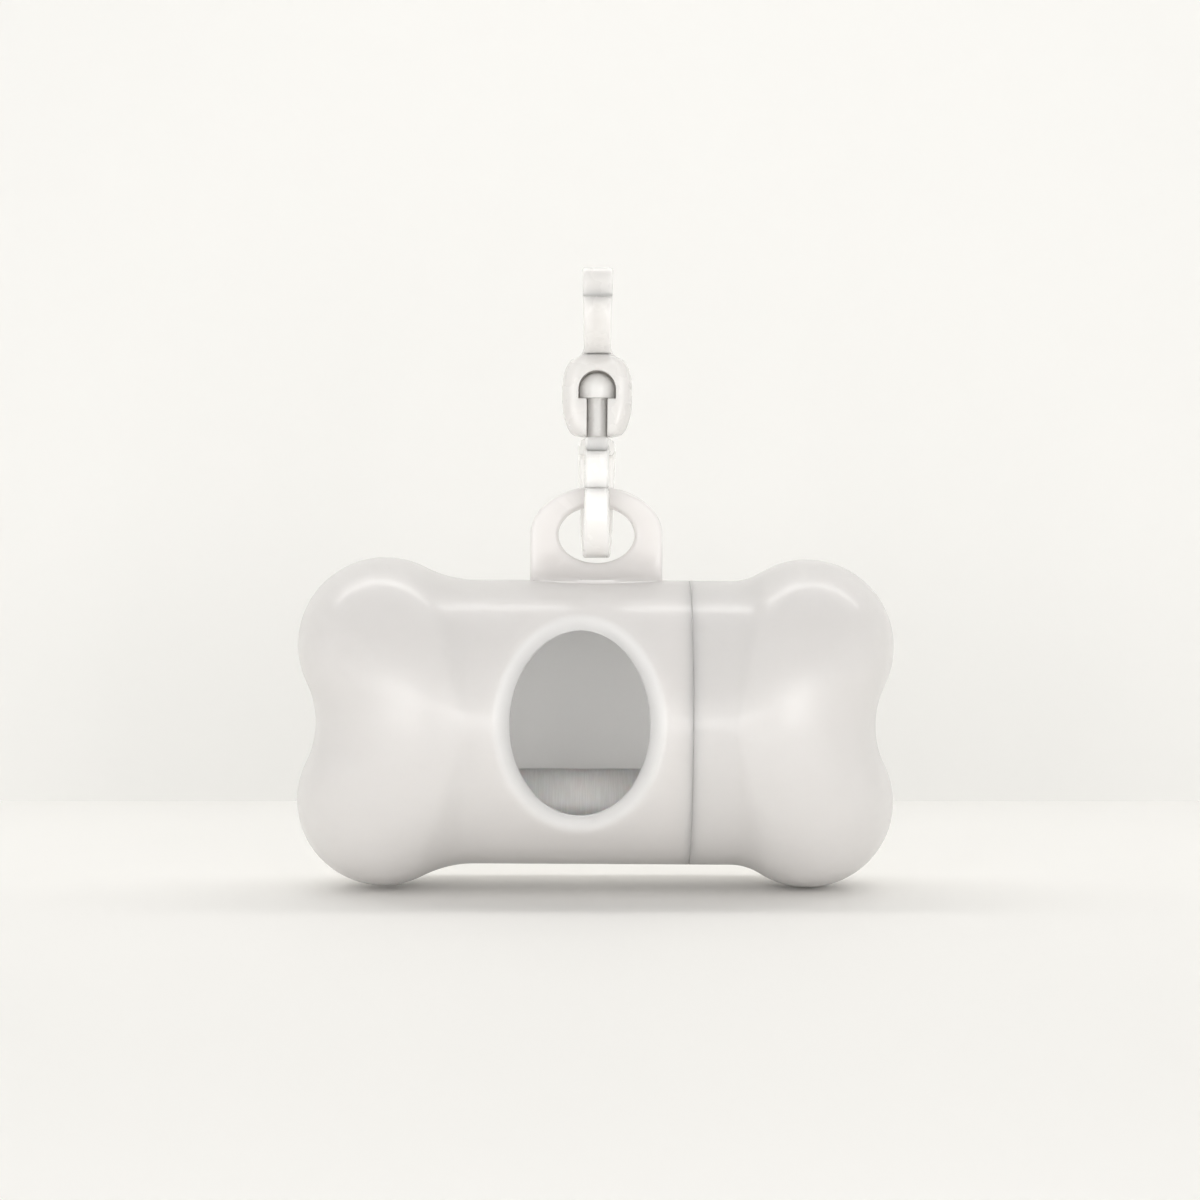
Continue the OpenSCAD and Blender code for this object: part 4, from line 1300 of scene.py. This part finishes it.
def sheet_of(name, corners, material):
    """A flat sheet that belongs to the studio and not to the object."""
    mesh = bpy.data.meshes.new(name)
    mesh.from_pydata([tuple(c * MM for c in p) for p in corners], [], [(0, 1, 2, 3)])
    piece = bpy.data.objects.new(name, mesh)
    piece.data.materials.append(material)
    bpy.context.scene.collection.objects.link(piece)
    return piece


WIDE = 1500.0
rise = WIDE * math.tan(math.radians(ROLL_DEG))
floor_left, floor_right = FLOOR_Z - rise, FLOOR_Z + rise
sheet_of("floor_card", [(-WIDE, -WIDE, floor_left), (WIDE, -WIDE, floor_right),
                        (WIDE, BACKDROP_Y, floor_right), (-WIDE, BACKDROP_Y, floor_left)],
         paper("floor_paper", (0.95, 0.942, 0.92), 0.6))
sheet_of("backdrop_card", [(-WIDE, BACKDROP_Y, floor_left), (WIDE, BACKDROP_Y, floor_right),
                           (WIDE, BACKDROP_Y, FLOOR_Z + WIDE), (-WIDE, BACKDROP_Y, FLOOR_Z + WIDE)],
         paper("backdrop_paper", (0.87, 0.866, 0.848), 0.8, one_sided=True))
print("backdrop stands", round(BACKDROP_Y), "mm behind the bone")

# %% [markdown]
# The picture is high key: everything is pale, and what faces up is a little darker than what
# faces down and forwards. So most of the light is the world's, brightest at the horizon and
# dimmer overhead. A soft box in front, a long low one and one at each side model the forms. A
# strip high up near the backdrop brightens it and the floor in front of it.

# %% Soft boxes
def soft_box(name, at, aim, size, power, colour=(1, 0.99, 0.97)):
    """A rectangular area light at a place, turned towards a point, both in mm."""
    data = bpy.data.lights.new(name, "AREA")
    data.shape = "RECTANGLE"
    data.size, data.size_y = (s * MM for s in size)
    data.energy = power
    data.color = colour
    lamp = bpy.data.objects.new(name, data)
    lamp.location = [v * MM for v in at]
    away = np.array(at, float) - np.array(aim, float)
    turn = math.atan2(away[0], -away[1])
    tilt = math.atan2(math.hypot(away[0], away[1]), away[2])
    lamp.rotation_euler = (tilt, 0, turn)
    bpy.context.scene.collection.objects.link(lamp)


MIDDLE = (0, 0, BONE_Z)
soft_box("front_box", (0, -900, BONE_Z - 10), MIDDLE, (300, 200), 0.5)
soft_box("low_front_box", (0, -300, FLOOR_Z + 35), MIDDLE, (700, 70), 0.2)
soft_box("left_box", (-296, -634, BONE_Z + 60), MIDDLE, (220, 220), 0.5)
soft_box("right_box", (296, -634, BONE_Z + 60), MIDDLE, (220, 220), 0.55)
soft_box("backdrop_strip", (0, 110, BONE_Z + 420), MIDDLE, (900, 60), 0.75)

# %% [markdown]
# The world is one pale colour whose strength falls with height. The direction of each ray is on
# the world's Generated coordinates, and its Z, the sine of the elevation, drives the fall. The
# Standard view keeps the whites as they are, where a filmic one would grey them.

# %% Graded world and view
HORIZON_LIGHT, OVERHEAD_LIGHT = 1.12, 0.42
FALL_FROM, FALL_TO = 0.15, 0.75

world = bpy.data.worlds.new("studio")
world.use_nodes = True
sky = world.node_tree
background = sky.nodes["Background"]
background.inputs["Color"].default_value = (1.0, 0.995, 0.985, 1)
looking = node(sky, "ShaderNodeTexCoord")
height = node(sky, "ShaderNodeSeparateXYZ")
sky.links.new(looking.outputs["Generated"], height.inputs["Vector"])
strength = ramp(sky, height.outputs["Z"], FALL_FROM, FALL_TO, HORIZON_LIGHT, OVERHEAD_LIGHT)
sky.links.new(strength, background.inputs["Strength"])
scene = bpy.context.scene
scene.world = world
scene.view_settings.view_transform = "Standard"
scene.view_settings.look = "None"
print("world:", world.name, "view:", scene.view_settings.view_transform)
